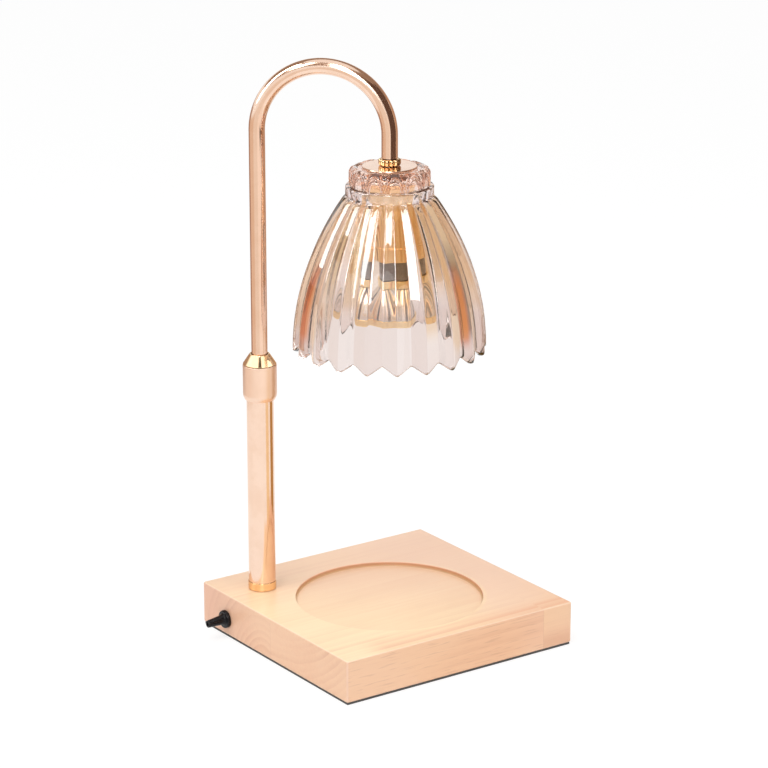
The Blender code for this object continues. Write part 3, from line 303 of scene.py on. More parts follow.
class Effects:
    """The shared shader groups, each built once."""

    FLOAT = "NodeSocketFloat"
    VECTOR = "NodeSocketVector"
    COLOUR = "NodeSocketColor"

    def __init__(self) -> None:
        """Builds every group."""
        self.trees: dict[Effect, bpy.types.NodeTree] = {
            Effect.EDGE_WEAR: self.edge_wear(),
            Effect.FINE_MARKS: self.fine_marks(),
            Effect.MOTTLE: self.mottle(),
            Effect.DUST: self.dust(),
        }

    def opened(
        self, effect: Effect, inputs: dict[str, str], outputs: dict[str, str]
    ) -> tuple[Bench, bpy.types.NodeOutputs, bpy.types.NodeInputs]:
        """Starts a group with its sockets.

        Args:
            effect: which group.
            inputs: socket types by name.
            outputs: socket types by name.

        Returns:
            Its bench, what it is given and what it makes.
        """
        tree = bpy.data.node_groups.new(effect.value, "ShaderNodeTree")
        bench = Bench(tree)
        for side, sockets in (("INPUT", inputs), ("OUTPUT", outputs)):
            for name, kind in sockets.items():
                tree.interface.new_socket(name=name, in_out=side, socket_type=kind)
        given, made = tree.nodes.new("NodeGroupInput"), tree.nodes.new("NodeGroupOutput")
        return bench, given.outputs, made.inputs

    def edge_wear(self) -> bpy.types.NodeTree:
        """Mask on outer edges: a step of the surface's pointiness, broken up by noise."""
        inputs = {"Vector": self.VECTOR, "Scale": self.FLOAT, "Amount": self.FLOAT}
        bench, given, made = self.opened(Effect.EDGE_WEAR, inputs, {"Mask": self.FLOAT})
        point = bench.node("NewGeometry").outputs["Pointiness"]
        patchy = bench.noise(given["Vector"], given["Scale"], 4.0, 0.6)
        edge = bench.add(point, bench.swing(patchy, 0.08))
        bench.feed(made["Mask"], bench.times(bench.step(edge, 0.53, 0.62), given["Amount"]))
        return bench.tree

    def fine_marks(self) -> bpy.types.NodeTree:
        """Polishing or turning marks: noise on coordinates that are squeezed along the marks."""
        inputs = {"Vector": self.VECTOR, "Stretch": self.VECTOR, "Scale": self.FLOAT}
        outputs = {"Height": self.FLOAT, "Patch": self.FLOAT}
        bench, given, made = self.opened(Effect.FINE_MARKS, inputs, outputs)
        drawn = bench.stretch(given["Vector"], given["Stretch"])
        bench.feed(made["Height"], bench.noise(drawn, given["Scale"], 4.0, 0.65))
        bench.feed(made["Patch"], bench.noise(given["Vector"], 60.0, 3.0, 0.6))
        return bench.tree

    def mottle(self) -> bpy.types.NodeTree:
        """Two tones that drift into each other, with fine specks of a third."""
        inputs = {"Vector": self.VECTOR, "Scale": self.FLOAT, "Specks": self.FLOAT}
        inputs.update({tone: self.COLOUR for tone in ("First", "Second", "Speck")})
        outputs = {"Color": self.COLOUR, "Height": self.FLOAT}
        bench, given, made = self.opened(Effect.MOTTLE, inputs, outputs)
        drift = bench.noise(given["Vector"], given["Scale"], 4.0, 0.6)
        grit = bench.noise(given["Vector"], bench.times(given["Scale"], 18.0))
        speck = bench.times(bench.step(grit, 0.62, 0.70), given["Specks"])
        tone = bench.blend(bench.step(drift, 0.3, 0.7), given["First"], given["Second"])
        bench.feed(made["Color"], bench.blend(speck, tone, given["Speck"]))
        bench.feed(made["Height"], grit)
        return bench.tree

    def dust(self) -> bpy.types.NodeTree:
        """Mask of settled dust: faces that look up, in soft patches."""
        inputs = {"Vector": self.VECTOR, "Amount": self.FLOAT}
        bench, given, made = self.opened(Effect.DUST, inputs, {"Mask": self.FLOAT})
        up = bench.axes(bench.node("NewGeometry").outputs["Normal"])[2]
        patch = bench.noise(given["Vector"], 130.0, 5.0, 0.7)
        mask = bench.times(bench.step(up, 0.2, 0.95), bench.step(patch, 0.42, 0.72))
        bench.feed(made["Mask"], bench.times(mask, given["Amount"]))
        return bench.tree


def opened_material(
    name: str, effects: Effects | None = None
) -> tuple[Bench, bpy.types.Material]:
    """A new material with an empty node tree.

    Args:
        name: the material's name.
        effects: the shared groups, where it places any.

    Returns:
        Its bench and the material.
    """
    material = bpy.data.materials.new(name)
    material.use_nodes = True
    return Bench(material.node_tree, effects), material


def closed_material(bench: Bench, shader: Socket) -> None:
    """Joins the last shader to the material's output."""
    bench.node("OutputMaterial", {"Surface": shader})


class Finish:
    """What every finish shares: how its shader becomes a material."""

    def build(self, name: str, effects: Effects) -> bpy.types.Material:
        """Makes the material.

        Args:
            name: the material's name.
            effects: the shared groups.

        Returns:
            The material.
        """
        bench, material = opened_material(name, effects)
        closed_material(bench, self.shader(bench))
        return material

    def shader(self, bench: Bench) -> Socket:
        """The finish's last shader, made on a material's bench."""
        raise NotImplementedError


@dataclass(frozen=True)
class MetalFinish(Finish):
    """Plated or bare metal, with polishing marks, a drift of tone, rubbed edges and dust."""

    colour: Colour
    deep: Colour
    wear_and_edge_highlight: Colour
    roughness: float = 0.16
    marks: Point = (1.0, 1.0, 0.05)
    marks_scale: float = 900.0
    wear: float = 0.25
    dust: float = 0.12
    relief: float = 0.08
    relief_depth: float = 0.00005

    def shader(self, bench: Bench) -> Socket:
        """Metal that wear brightens, and that marks, wear and dust roughen.

        Args:
            bench: the material's bench.

        Returns:
            The shader.
        """
        marks = bench.effect(Effect.FINE_MARKS, Stretch=self.marks, Scale=self.marks_scale)
        wear = bench.effect(Effect.EDGE_WEAR, Scale=300.0, Amount=self.wear)["Mask"]
        dust = bench.effect(Effect.DUST, Amount=self.dust)["Mask"]
        tone = bench.blend(bench.step(marks["Patch"], 0.35, 0.65), self.colour, self.deep)
        rough = bench.add(
            self.roughness,
            bench.swing(marks["Height"], 0.10),
            bench.swing(marks["Patch"], 0.06),
            bench.times(wear, 0.12),
            bench.times(dust, 0.25),
        )
        bump = bench.bump(self.relief, self.relief_depth, marks["Height"])
        return bench.principled(bench.blend(wear, tone, self.wear_and_edge_highlight), rough, bump, {"Metallic": 1.0})


@dataclass(frozen=True)
class SolidFinish(Finish):
    """Plastic, rubber, foam or ceramic: a mottled body with grain, rubbed edges and dust."""

    first: Colour
    second: Colour
    speck: Colour
    roughness: float
    scale: float = 60.0
    specks: float = 0.3
    grain: float = 0.15
    grain_depth: float = 0.0001
    coat: float = 0.0
    wear: float = 0.15
    dust: float = 0.15
    shine: float = 0.5
    rubbed: Colour = (0.45, 0.44, 0.42)
    dusty: Colour = (0.62, 0.58, 0.52)

    def shader(self, bench: Bench) -> Socket:
        """A mottled body under pale edges and dust.

        Args:
            bench: the material's bench.

        Returns:
            The shader.
        """
        body = bench.effect(
            Effect.MOTTLE, Scale=self.scale, Specks=self.specks,
            First=self.first, Second=self.second, Speck=self.speck,
        )
        wear = bench.effect(Effect.EDGE_WEAR, Scale=500.0, Amount=self.wear)["Mask"]
        dust = bench.effect(Effect.DUST, Amount=self.dust)["Mask"]
        tone = bench.blend(dust, bench.blend(wear, body["Color"], self.rubbed), self.dusty)
        rough = bench.add(self.roughness, bench.swing(body["Height"], 0.15), bench.times(dust, 0.3))
        bump = bench.bump(self.grain, self.grain_depth, body["Height"])
        more = {"Coat Weight": self.coat, "Coat Roughness": 0.12, "Specular IOR Level": self.shine}
        return bench.principled(tone, rough, bump, more)


@dataclass(frozen=True)
class WoodFinish(Finish):
    """Lacquered staves glued side by side, with the grain along X.

    The rings are circles round an axis along X, so the top and the front show streaks and the
    ends show arcs: ring = part of (distance from the axis + noise) over the spacing, which
    darkens slowly through each year's growth and stops short.
    """

    light: Colour = (1.00, 0.770, 0.480)
    middle: Colour = (0.96, 0.690, 0.420)
    dark: Colour = (0.72, 0.400, 0.215)
    pore: Colour = (0.56, 0.33, 0.21)
    pink: Colour = (0.90, 0.600, 0.440)
    yellow: Colour = (1.00, 0.790, 0.480)
    streak: Colour = (0.840, 0.420, 0.230)
    # colour of the painted shade at the foot of the seat's wall
    shade: Colour = (0.60, 0.36, 0.15)
    # painted shade: upright faces are multiplied by this, darker and pinker than the top
    painted_side_shade: Colour = (0.975, 0.815, 0.850)
    # colour of the painted highlight along the block's rounded outer edges
    edge: Colour = (1.00, 0.84, 0.66)
    joint_y: float = 0.003
    butt_x: float = 0.063
    joint_width: float = 0.00012
    ring_spacing: float = 0.0047
    ring_waver: float = 0.0052
    ring_shift: float = 0.0021
    ring_seed: float = 4.4
    front_axis: Pair = (0.000, 0.104)
    back_axis: Pair = (0.011, -0.006)
    block_top: float = 0.0282

    def grain(
        self, bench: Bench, squeeze: float, scale: float, detail: float = 2.0, rough: float = 0.5
    ) -> Socket:
        """Noise that is drawn out along X, of which only a share counts."""
        return bench.noise(bench.stretch(bench.place, (squeeze, 1.0, 1.0)), scale, detail, rough)

    def rings(self, bench: Bench, back: Socket, right: Socket, slow: Socket) -> Socket:
        """The year rings, each as dark as its own chance says.

        Args:
            bench: the material's bench.
            back: 1 on the stave behind the joint.
            right: 1 on the stave beyond the butt joint.
            slow: the noise that bends the rings.

        Returns:
            0 between the rings, up to 1 on them.
        """
        _, y, z = bench.axes(bench.place)
        across, up = (
            bench.sum(Operation.TAKE, value, bench.add(near, bench.times(back, far - near)))
            for value, near, far in zip((y, z), self.front_axis, self.back_axis)
        )
        reach = bench.add(
            bench.length(across, up),
            bench.swing(slow, self.ring_waver),
            bench.times(right, self.ring_shift),
        )
        count = bench.times(reach, 1.0 / self.ring_spacing)
        year = bench.sum(Operation.PART, count)
        harsh = bench.chance(bench.sum(Operation.FLOOR, count), self.ring_seed)
        return bench.times(bench.step(year, 0.10, 0.88), bench.step(year, 1.0, 0.90), harsh)

    def painted_seat_shade(self, bench: Bench, wood: Socket, radius: Socket, z: Socket) -> Socket:
        """Paints shade into the seat: a little over its floor and more at the foot of its wall.

        Args:
            bench: the material's bench.
            wood: the colour so far.
            radius: the distance from the seat's middle.
            z: the height.

        Returns:
            The colour with the seat's painted shade.
        """
        wall = bench.step(bench.off(radius, SEAT_RADIUS), 0.0016, 0.0004)
        sunk = bench.step(z, self.block_top - 0.0001, self.block_top - 0.0010)
        seat_floor_shade = bench.step(radius, SEAT_RADIUS, SEAT_RADIUS - 0.002)
        # painted shade: the seat's floor a little darker, the foot of its wall much darker
        wood = bench.blend(bench.times(seat_floor_shade, sunk, 0.16), wood, self.dark)
        return bench.blend(bench.times(wall, sunk, 0.80), wood, self.shade)

    def shader(self, bench: Bench) -> Socket:
        """Fibres, rings and pores, then the staves' own tones, the joints, the painted shade of the
        seat, the painted highlight on the outer edges and the painted shade of the upright faces.

        Args:
            bench: the material's bench.

        Returns:
            The shader.
        """
        x, y, z = bench.axes(bench.place)
        facing = bench.axes(bench.node("NewGeometry").outputs["Normal"])
        sizes = [bench.sum(Operation.SIZE, part) for part in facing]
        upright = bench.step(facing[2], 0.8, 0.3)
        level = bench.rest(upright)
        ends = bench.step(sizes[0], 0.5, 0.8)
        back = bench.sum(Operation.ABOVE, y, self.joint_y)
        front = bench.rest(back)
        right = bench.times(bench.sum(Operation.ABOVE, x, self.butt_x), front)
        radius = bench.length(bench.add(x, -HEAD[0]), bench.add(y, -HEAD[1]))

        slow = self.grain(bench, 0.10, 34.0)
        ring = self.rings(bench, back, right, slow)
        broad = self.grain(bench, 0.30, 19.0)
        fibre = self.grain(bench, 0.030, 420.0, 3.0, 0.55)
        tone = bench.add(bench.times(broad, 0.70), bench.times(fibre, 0.30))
        wood = bench.blend(bench.step(tone, 0.38, 0.64), self.light, self.middle)
        patch = bench.step(self.grain(bench, 0.5, 24.0, 1.0), 0.40, 0.62)
        strength = bench.add(0.04, bench.times(patch, 0.26), bench.times(ends, 0.12))
        wood = bench.blend(bench.times(ring, strength), wood, self.dark)
        pores = bench.times(
            bench.step(self.grain(bench, 0.060, 1050.0, 1.0), 0.56, 0.72),
            bench.plus(0.07, upright, 0.20),
            bench.rest(bench.times(ends, 0.85)),
        )
        wood = bench.blend(pores, wood, self.pore)

        behind = bench.step(bench.plus(y, x, 0.75), -0.065, 0.05)
        wood = bench.blend(bench.times(behind, 0.60), wood, self.pink)
        top = bench.times(level, bench.step(radius, 0.060, 0.062))
        rightward = bench.step(bench.plus(x, broad, 0.03), 0.020, 0.075)
        wood = bench.blend(bench.times(rightward, top, 0.55), wood, self.pink)
        wander = bench.add(y, bench.times(slow, 0.018), bench.times(x, 0.04))
        streak = bench.times(
            bench.step(wander, -0.050, -0.060),
            bench.step(x, -0.070, -0.050),
            bench.plus(0.35, ring, 0.65),
            top,
        )
        wood = bench.blend(bench.times(streak, 0.80), wood, self.streak)
        high = bench.step(z, 0.006, 0.022, 0.25, 0.75)
        wood = bench.blend(bench.times(right, high, upright), wood, self.yellow)
        low = bench.step(z, 0.013, 0.007)
        wood = bench.blend(bench.times(right, low, upright, 0.33), wood, self.dark)

        glue = bench.sum(Operation.BELOW, bench.off(y, self.joint_y), self.joint_width)
        butt = bench.sum(Operation.BELOW, bench.off(x, self.butt_x), self.joint_width)
        line = bench.sum(Operation.MOST, glue, bench.times(butt, front))
        wood = bench.blend(bench.times(line, bench.plus(0.08, upright, 0.20)), wood, self.pore)
        # painted shade in the seat
        wood = self.painted_seat_shade(bench, wood, radius, z)

        # painted highlight: the rounded outer edges outside the seat are lightened towards a pale
        # colour
        largest = bench.chain(Operation.MOST, sizes)
        outside = bench.step(radius, SEAT_RADIUS + 0.001, SEAT_RADIUS + 0.003)
        wear_and_edge_highlight = bench.times(bench.step(largest, 0.995, 0.93), outside, 0.45)
        wood = bench.blend(wear_and_edge_highlight, wood, self.edge)
        # painted shade: upright faces are multiplied darker and pinker than the top
        tinted = {0: upright, 6: wood, 7: self.painted_side_shade}
        wood = bench.node("Mix", tinted, data_type="RGBA", blend_type="MULTIPLY").outputs[2]
        rough = bench.add(0.42, bench.times(pores, 0.3), bench.swing(fibre, 0.15))
        relief = (bench.times(fibre, 0.5), bench.times(pores, -1.2), bench.times(line, -0.8))
        bump = bench.bump(0.16, 0.00012, bench.add(*relief))
        return bench.principled(wood, rough, bump, {"Coat Weight": 0.30, "Coat Roughness": 0.22})


def glass_shader(
    bench: Bench,
    colour: object,
    roughness: object,
    normal: Socket,
    ior: float,
    shadow: Colour,
    coat: object = 0.0,
    coat_index: float = 1.5,
    painted_glow: object = NO_LIGHT,
) -> Socket:
    """Refracting glass that lets lamp light through to what it covers.

    Args:
        bench: the material's bench.
        colour: the tint, a colour or a socket.
        roughness: a number or a socket.
        normal: the bump's normal.
        ior: how strongly it bends light.
        shadow: the tint of the light that passes.
        coat: how much of a mirror-like coat lies on it.
        coat_index: how strongly that coat mirrors.
        painted_glow: a painted glow, faint light that the glass gives off though it is no lamp.

    Returns:
        The mixed shader.
    """
    more = {
        "Metallic": 0.0,
        "Transmission Weight": 1.0,
        "IOR": ior,
        "Coat Weight": coat,
        "Coat IOR": coat_index,
        "Coat Roughness": 0.015,
        "Emission Color": painted_glow,
        "Emission Strength": 1.0,
    }
    glass = bench.principled(colour, roughness, normal, more)
    clear = bench.node("BsdfTransparent", {"Color": shadow}).outputs[0]
    return bench.mixed(bench.node("LightPath").outputs["Is Shadow Ray"], glass, clear)


@dataclass(frozen=True)
class ClearGlassFinish(Finish):
    """Clear glass with faint ripples and a breath of dust."""

    colour: Colour = (0.96, 0.97, 0.96)
    cool: Colour = (0.90, 0.92, 0.92)
    shadow: Colour = (0.95, 0.95, 0.95)
    roughness: float = 0.03
    ior: float = 1.47

    def shader(self, bench: Bench) -> Socket:
        """Glass whose tint and roughness drift with the ripples.

        Args:
            bench: the material's bench.

        Returns:
            The shader.
        """
        ripple = bench.noise(bench.place, 240.0)
        dust = bench.effect(Effect.DUST, Amount=0.1)["Mask"]
        rough = bench.add(self.roughness, bench.times(ripple, 0.03), dust)
        tone = bench.blend(ripple, self.colour, self.cool)
        bump = bench.bump(0.05, 0.0001, ripple)
        return glass_shader(bench, tone, rough, bump, self.ior, self.shadow)


@dataclass(frozen=True)
class LustreFinish(Finish):
    """Amber to rose lustre on the shade, laid by its own map.

    The map's U counts pleats, whole numbers on the crests, so a facet's number is the whole
    part of 2 U. Its V is the drop below the top as a share of the height, and more than 1 on
    the inner side. The "relief" attribute is 0 on a crest and 1 in a groove, and 1 on the
    raised lines of the neck. Each facet has its own fixed chance of a strong or faint streak,
    partly the lustre's own uneven tint and partly painted reflections. Chosen facets are
    painted near black or bright orange as reflections, one facet of each pleat is painted more
    amber as shade, and rose lines along the facets and the neck's relief are painted shade.
    Where the glass is seen at a flat angle its tint is painted deeper, partly the film's colour
    shift and partly a painted reflection, and the neck has a painted glow.
    """

    pale: Colour = (0.900, 0.770, 0.700)
    bottom: Colour = (0.640, 0.470, 0.420)
    clear: Colour = (0.860, 0.740, 0.710)
    amber: Colour = (0.730, 0.450, 0.265)
    ochre: Colour = (0.660, 0.370, 0.150)
    # near-black colour of the painted dark reflection streaks
    painted_dark_streak: Colour = (0.035, 0.014, 0.007)
    # colour of the painted orange reflection streaks
    orange: Colour = (0.620, 0.110, 0.012)
    # colour of the painted shade along facet edges, at a flat angle and on the neck relief's flanks
    rose: Colour = (0.560, 0.270, 0.180)
    # dark grey of the painted shade on the lip and on the lower glass at a flat angle
    painted_edge_shade: Colour = (0.330, 0.250, 0.260)
    neck: Colour = (0.980, 0.800, 0.710)
    shoulder: Colour = (0.910, 0.830, 0.880)
    # painted glow: the neck gives off this faint light of its own, though it is no lamp
    painted_glow: Colour = (0.050, 0.026, 0.019)
    inner: Colour = (0.97, 0.95, 0.94)
    shadow: Colour = (0.93, 0.86, 0.82)
    neck_end: float = 0.092
    shoulder_end: float = 0.150
    fade_start: float = 0.66
    fade_end: float = 0.80
    flat_drop: float = 0.12
    strong_seed: float = 1085.23
    other_seed: float = 698.13
    length_seed: float = 1091.33
    spread: float = 0.34
    fray: float = 0.3
    outer_end: float = 1.002
    roughness: float = 0.012
    ior: float = 1.50
    coat_index: float = 1.65
    hot_facet: float = 22.0
    hot_every: float = 13.0
    brown_facet: float = 35.0
    brown_every: float = 17.0

    def picked(self, bench: Bench, facet: object, first: float, every: float) -> Socket:
        """1 on a facet and on each one that lies a fixed count further on, or else 0."""
        share = bench.sum(Operation.PART, bench.times(bench.add(facet, -first + 0.5), 1.0 / every))
        return bench.sum(Operation.BELOW, share, 1.0 / every)

    def shader(self, bench: Bench) -> Socket:
        """Streaks with painted reflections facet by facet, then the lower edge, shoulder, neck and
        lip.

        Args:
            bench: the material's bench.

        Returns:
            The shader.
        """
        u, v, _ = bench.chart()
        relief = bench.node("Attribute", attribute_name="relief").outputs["Fac"]
        # 1 where the glass is seen at a flat angle; tints there deepen, partly the film's colour
        # shift and partly a painted reflection
        flat = bench.step(bench.node("LayerWeight", {"Blend": 0.5}).outputs["Facing"], 0.40, 0.95)
        outer = bench.sum(Operation.BELOW, v, self.outer_end)
        facets = bench.times(u, 2.0)
        facet = bench.sum(Operation.FLOOR, facets)
        across = bench.sum(Operation.PART, facets)
        side = bench.sum(Operation.BELOW, bench.sum(Operation.PART, u), 0.5)
        strong, other, length = (
            bench.chance(facet, seed)
            for seed in (self.strong_seed, self.other_seed, self.length_seed)
        )

        strands = {0: bench.times(u, 7.0), 1: bench.times(v, 1.6), 2: 0.0}
        strand = bench.noise(bench.node("CombineXYZ", strands).outputs[0], 1.0, 3.0, 0.55)
        frayed = bench.plus(across, strand, self.fray)
        down = bench.add(v, bench.swing(length, self.spread), bench.times(flat, -self.flat_drop))
        fade = bench.times(
            bench.step(down, self.fade_end, self.fade_start), bench.step(v, 0.135, 0.165)
        )
        # painted shade: amber is stronger on one facet of each pleat and at a flat angle, over the
        # lustre's uneven tint
        share = bench.add(
            0.36, bench.times(side, 0.28), bench.swing(strong, 0.9), bench.times(flat, 0.45)
        )
        amber = bench.times(bench.step(bench.plus(share, strand, self.fray), 0.25, 1.0), fade)
        ochre = bench.times(
            bench.step(bench.plus(other, strand, self.fray), 0.66, 0.92),
            bench.step(v, 0.70, 0.45),
            bench.step(v, 0.135, 0.160),
            bench.plus(0.35, side, 0.55),
        )
        # painted shade: rose lines along the crests and grooves of the facets
        edges = bench.off(bench.times(across, 2.0), 1.0)
        line = bench.times(bench.step(bench.plus(edges, strand, 0.2), 0.86, 1.04), fade, 0.80)
        # painted reflection: chosen facets are painted near black
        painted_dark_streak = bench.times(
            self.picked(bench, facet, self.brown_facet, self.brown_every),
            bench.step(frayed, 0.25, 0.50),
            bench.step(v, 0.28, 0.52),
            bench.step(v, 0.90, 0.80),
            0.90,
        )
        # painted reflection: chosen facets are painted bright orange
        painted_orange_streak = bench.times(
            self.picked(bench, facet, self.hot_facet, self.hot_every),
            bench.step(frayed, 1.00, 0.70),
            bench.step(v, 0.42, 0.60),
            bench.step(v, 0.93, 0.84),
            0.90,
        )
        low = bench.blend(bench.times(other, 0.6), self.bottom, self.clear)
        # painted shade: the lower glass turns dark grey at a flat angle
        low = bench.blend(bench.times(flat, 0.85), low, self.painted_edge_shade)
        # painted reflection: the upper glass turns rose where it is seen at a flat angle
        rim = bench.times(flat, bench.step(v, 0.30, 0.10), 0.4)
        shoulder = bench.step(v, self.shoulder_end + 0.02, self.shoulder_end - 0.02)
        neck = bench.step(v, self.neck_end + 0.006, self.neck_end - 0.004)
        # painted shade: a dark grey outline along the lip, stronger at a flat angle
        lip = bench.times(bench.step(v, 0.972, 0.992), bench.plus(0.30, flat, 0.70))
        # painted shade: rose on the flanks of the neck's raised lines
        flank = bench.times(bench.step(relief, 0.08, 0.30), bench.step(relief, 0.95, 0.70), neck)

        tint = self.pale
        for cover, colour in (
            (amber, self.amber),
            (ochre, self.ochre),
            (line, self.rose),
            (bench.step(down, self.fade_start, self.fade_end), low),
            (painted_dark_streak, self.painted_dark_streak),
            (painted_orange_streak, self.orange),
            (bench.times(shoulder, 0.75), self.shoulder),
            (neck, self.neck),
            (rim, self.rose),
            (lip, self.painted_edge_shade),
            (flank, self.rose),
        ):
            tint = bench.blend(cover, tint, colour)
        tint = bench.blend(outer, self.inner, tint)

        rough = bench.add(self.roughness, bench.effect(Effect.DUST, Amount=0.03)["Mask"])
        bump = bench.bump(0.05, 0.0005, bench.noise(bench.place, 55.0))
        flare = bench.times(bench.step(v, 0.125, 0.145), bench.step(v, 0.205, 0.180))
        bare = bench.add(
            bench.times(neck, 0.9),
            bench.times(painted_dark_streak, 0.85),
            bench.times(painted_orange_streak, 0.6),
            bench.times(flare, 0.5),
        )
        lustre = bench.times(outer, bench.sum(Operation.MOST, bench.rest(bare), 0.0))
        # painted glow on the outer side of the neck
        painted_glow = bench.blend(bench.times(neck, outer), NO_LIGHT, self.painted_glow)
        return glass_shader(
            bench, tint, rough, bump, self.ior, self.shadow, lustre, self.coat_index, painted_glow
        )


@dataclass(frozen=True)
class RibbedMirrorFinish(Finish):
    """Silvered glass whose grooves between its ribs are painted dark, a painted dark reflection.

    The map's U counts ribs, so dark = step of |2 * part of U - 1|.
    """

    bright: Colour = (0.92, 0.90, 0.86)
    # colour of the painted dark reflection in the grooves
    dark: Colour = (0.10, 0.09, 0.10)
    warm: Colour = (0.95, 0.78, 0.48)
    roughness: float = 0.12
    dark_seed: float = 2.9
    warm_seed: float = 8.3

    def shader(self, bench: Bench) -> Socket:
        """A mirror with a chance of a painted dark groove and of a warm tone on each rib.

        Args:
            bench: the material's bench.

        Returns:
            The shader.
        """
        u, _, _ = bench.chart()
        ridge = bench.off(bench.times(bench.sum(Operation.PART, u), 2.0), 1.0)
        number = bench.sum(Operation.FLOOR, u)
        uneven = bench.noise(bench.place, 160.0)
        groove = bench.step(bench.plus(ridge, uneven, 0.3), 0.80, 0.35)
        warm = bench.times(bench.step(bench.chance(number, self.warm_seed), 0.6, 0.8), 0.6)
        tone = bench.blend(warm, self.bright, self.warm)
        # painted reflection: a chance of a dark groove on each rib
        dark = bench.times(groove, bench.chance(number, self.dark_seed))
        dust = bench.effect(Effect.DUST, Amount=0.1)["Mask"]
        rough = bench.add(self.roughness, bench.times(dust, 0.5), bench.times(uneven, 0.05))
        bump = bench.bump(0.1, 0.0001, uneven)
        return bench.principled(bench.blend(dark, tone, self.dark), rough, bump, {"Metallic": 1.0})


LENGTHWISE: Point = (1.0, 1.0, 0.03)
ROUND_ABOUT: Point = (0.04, 0.04, 1.0)
EVEN: Point = (1.0, 1.0, 1.0)

FINISHES: dict[Slot, Finish] = {
    Slot.BEECH: WoodFinish(),
    Slot.BLACK_FOAM: SolidFinish(
        (0.018, 0.017, 0.016), (0.030, 0.028, 0.027), (0.07, 0.07, 0.07),
        roughness=0.85, scale=300.0, specks=0.5, grain=0.5, grain_depth=0.0003,
    ),
    Slot.BLACK_PLASTIC: SolidFinish(
        (0.004, 0.003, 0.004), (0.007, 0.006, 0.008), (0.015, 0.015, 0.016),
        roughness=0.20, scale=200.0, specks=0.2, grain=0.08, wear=0.03, dust=0.02, shine=0.22,
    ),
    Slot.ROSE_GOLD: MetalFinish(
        (0.930, 0.690, 0.545), (0.895, 0.640, 0.490), (0.95, 0.77, 0.66),
        roughness=0.13, marks=LENGTHWISE, marks_scale=1100.0,
    ),
    Slot.BRIGHT_GOLD: MetalFinish(
        (0.94, 0.720, 0.460), (0.90, 0.650, 0.380), (0.95, 0.80, 0.60),
        roughness=0.07, marks=ROUND_ABOUT, wear=0.2, dust=0.08,
    ),
    Slot.BRASS: MetalFinish(
        (0.76, 0.560, 0.330), (0.58, 0.400, 0.210), (0.94, 0.82, 0.60),
        roughness=0.14, marks=ROUND_ABOUT, wear=0.3, dust=0.1,
    ),
    Slot.ZINC: MetalFinish(
        (0.62, 0.63, 0.65), (0.50, 0.51, 0.53), (0.75, 0.75, 0.76),
        roughness=0.30, marks=EVEN, marks_scale=500.0, wear=0.3, dust=0.15,
    ),
    Slot.NYLON: SolidFinish(
        (0.72, 0.69, 0.60), (0.66, 0.62, 0.52), (0.55, 0.50, 0.42), roughness=0.45, coat=0.1
    ),
    Slot.SILICONE: SolidFinish(
        (0.66, 0.65, 0.62), (0.58, 0.57, 0.55), (0.42, 0.41, 0.40), roughness=0.55
    ),
    Slot.LUSTRE_GLASS: LustreFinish(),
    Slot.CLEAR_GLASS: ClearGlassFinish(),
    Slot.STEATITE: SolidFinish(
        (0.74, 0.70, 0.60), (0.66, 0.62, 0.53), (0.45, 0.40, 0.33),
        roughness=0.70, scale=90.0, specks=0.4, grain=0.3,
    ),
    Slot.GREY_CERAMIC: SolidFinish(
        (0.210, 0.200, 0.210), (0.150, 0.145, 0.155), (0.30, 0.29, 0.30),
        roughness=0.26, scale=90.0, specks=0.4, grain=0.2, coat=0.6,
    ),
    Slot.SILVER_MIRROR: RibbedMirrorFinish(),
    Slot.COPPER_SPRING: MetalFinish(
        (0.80, 0.46, 0.26), (0.66, 0.34, 0.17), (0.90, 0.62, 0.42),
        roughness=0.22, marks=EVEN, marks_scale=700.0,
    ),
    Slot.LEAD_JACKET: SolidFinish(
        (0.76, 0.73, 0.66), (0.70, 0.67, 0.60), (0.52, 0.48, 0.42), roughness=0.50
    ),
}

# painted reflection: the foot ring's gold is yellower than the post's, standing in for the wooden
# base seen in it
FOOT_GOLD_WITH_PAINTED_REFLECTION = MetalFinish(
    (0.930, 0.655, 0.385), (0.895, 0.610, 0.345), (0.95, 0.75, 0.52),
    roughness=0.13, marks=LENGTHWISE, marks_scale=1100.0,
)
PALE_GILT = MetalFinish(
    (1.00, 0.840, 0.520), (0.97, 0.770, 0.420), (1.00, 0.90, 0.70),
    roughness=0.16, marks=ROUND_ABOUT,
)
SATIN = MetalFinish(
    (0.930, 0.690, 0.545), (0.905, 0.660, 0.510), (0.95, 0.77, 0.66),
    roughness=0.34, marks=LENGTHWISE, marks_scale=1300.0,
)


class Palette:
    """Materials by slot, each made the first time that it is asked for."""

    def __init__(self) -> None:
        """Builds the shared groups and starts with no material."""
        self.effects = Effects()
        self.made: dict[Slot, bpy.types.Material] = {}

    def material(self, slot: Slot) -> bpy.types.Material:
        """The material of a slot, the same one each time."""
        if slot not in self.made:
            self.made[slot] = FINISHES[slot].build(slot.value, self.effects)
        return self.made[slot]

    def dress_nodes(self) -> None:
        """Gives each CAD node that stays its slot's material."""
        for row in frame["record"]["subparts"]:
            node = frame["nodes"][row["node"]]
            node.data.materials.clear()
            node.data.materials.append(self.material(Slot(row["material_slot"])))


def linked(name: str, data: bpy.types.ID | None) -> bpy.types.Object:
    """A new object in the scene, at the origin."""
    made = bpy.data.objects.new(name, data)
    bpy.context.scene.collection.objects.link(made)
    return made


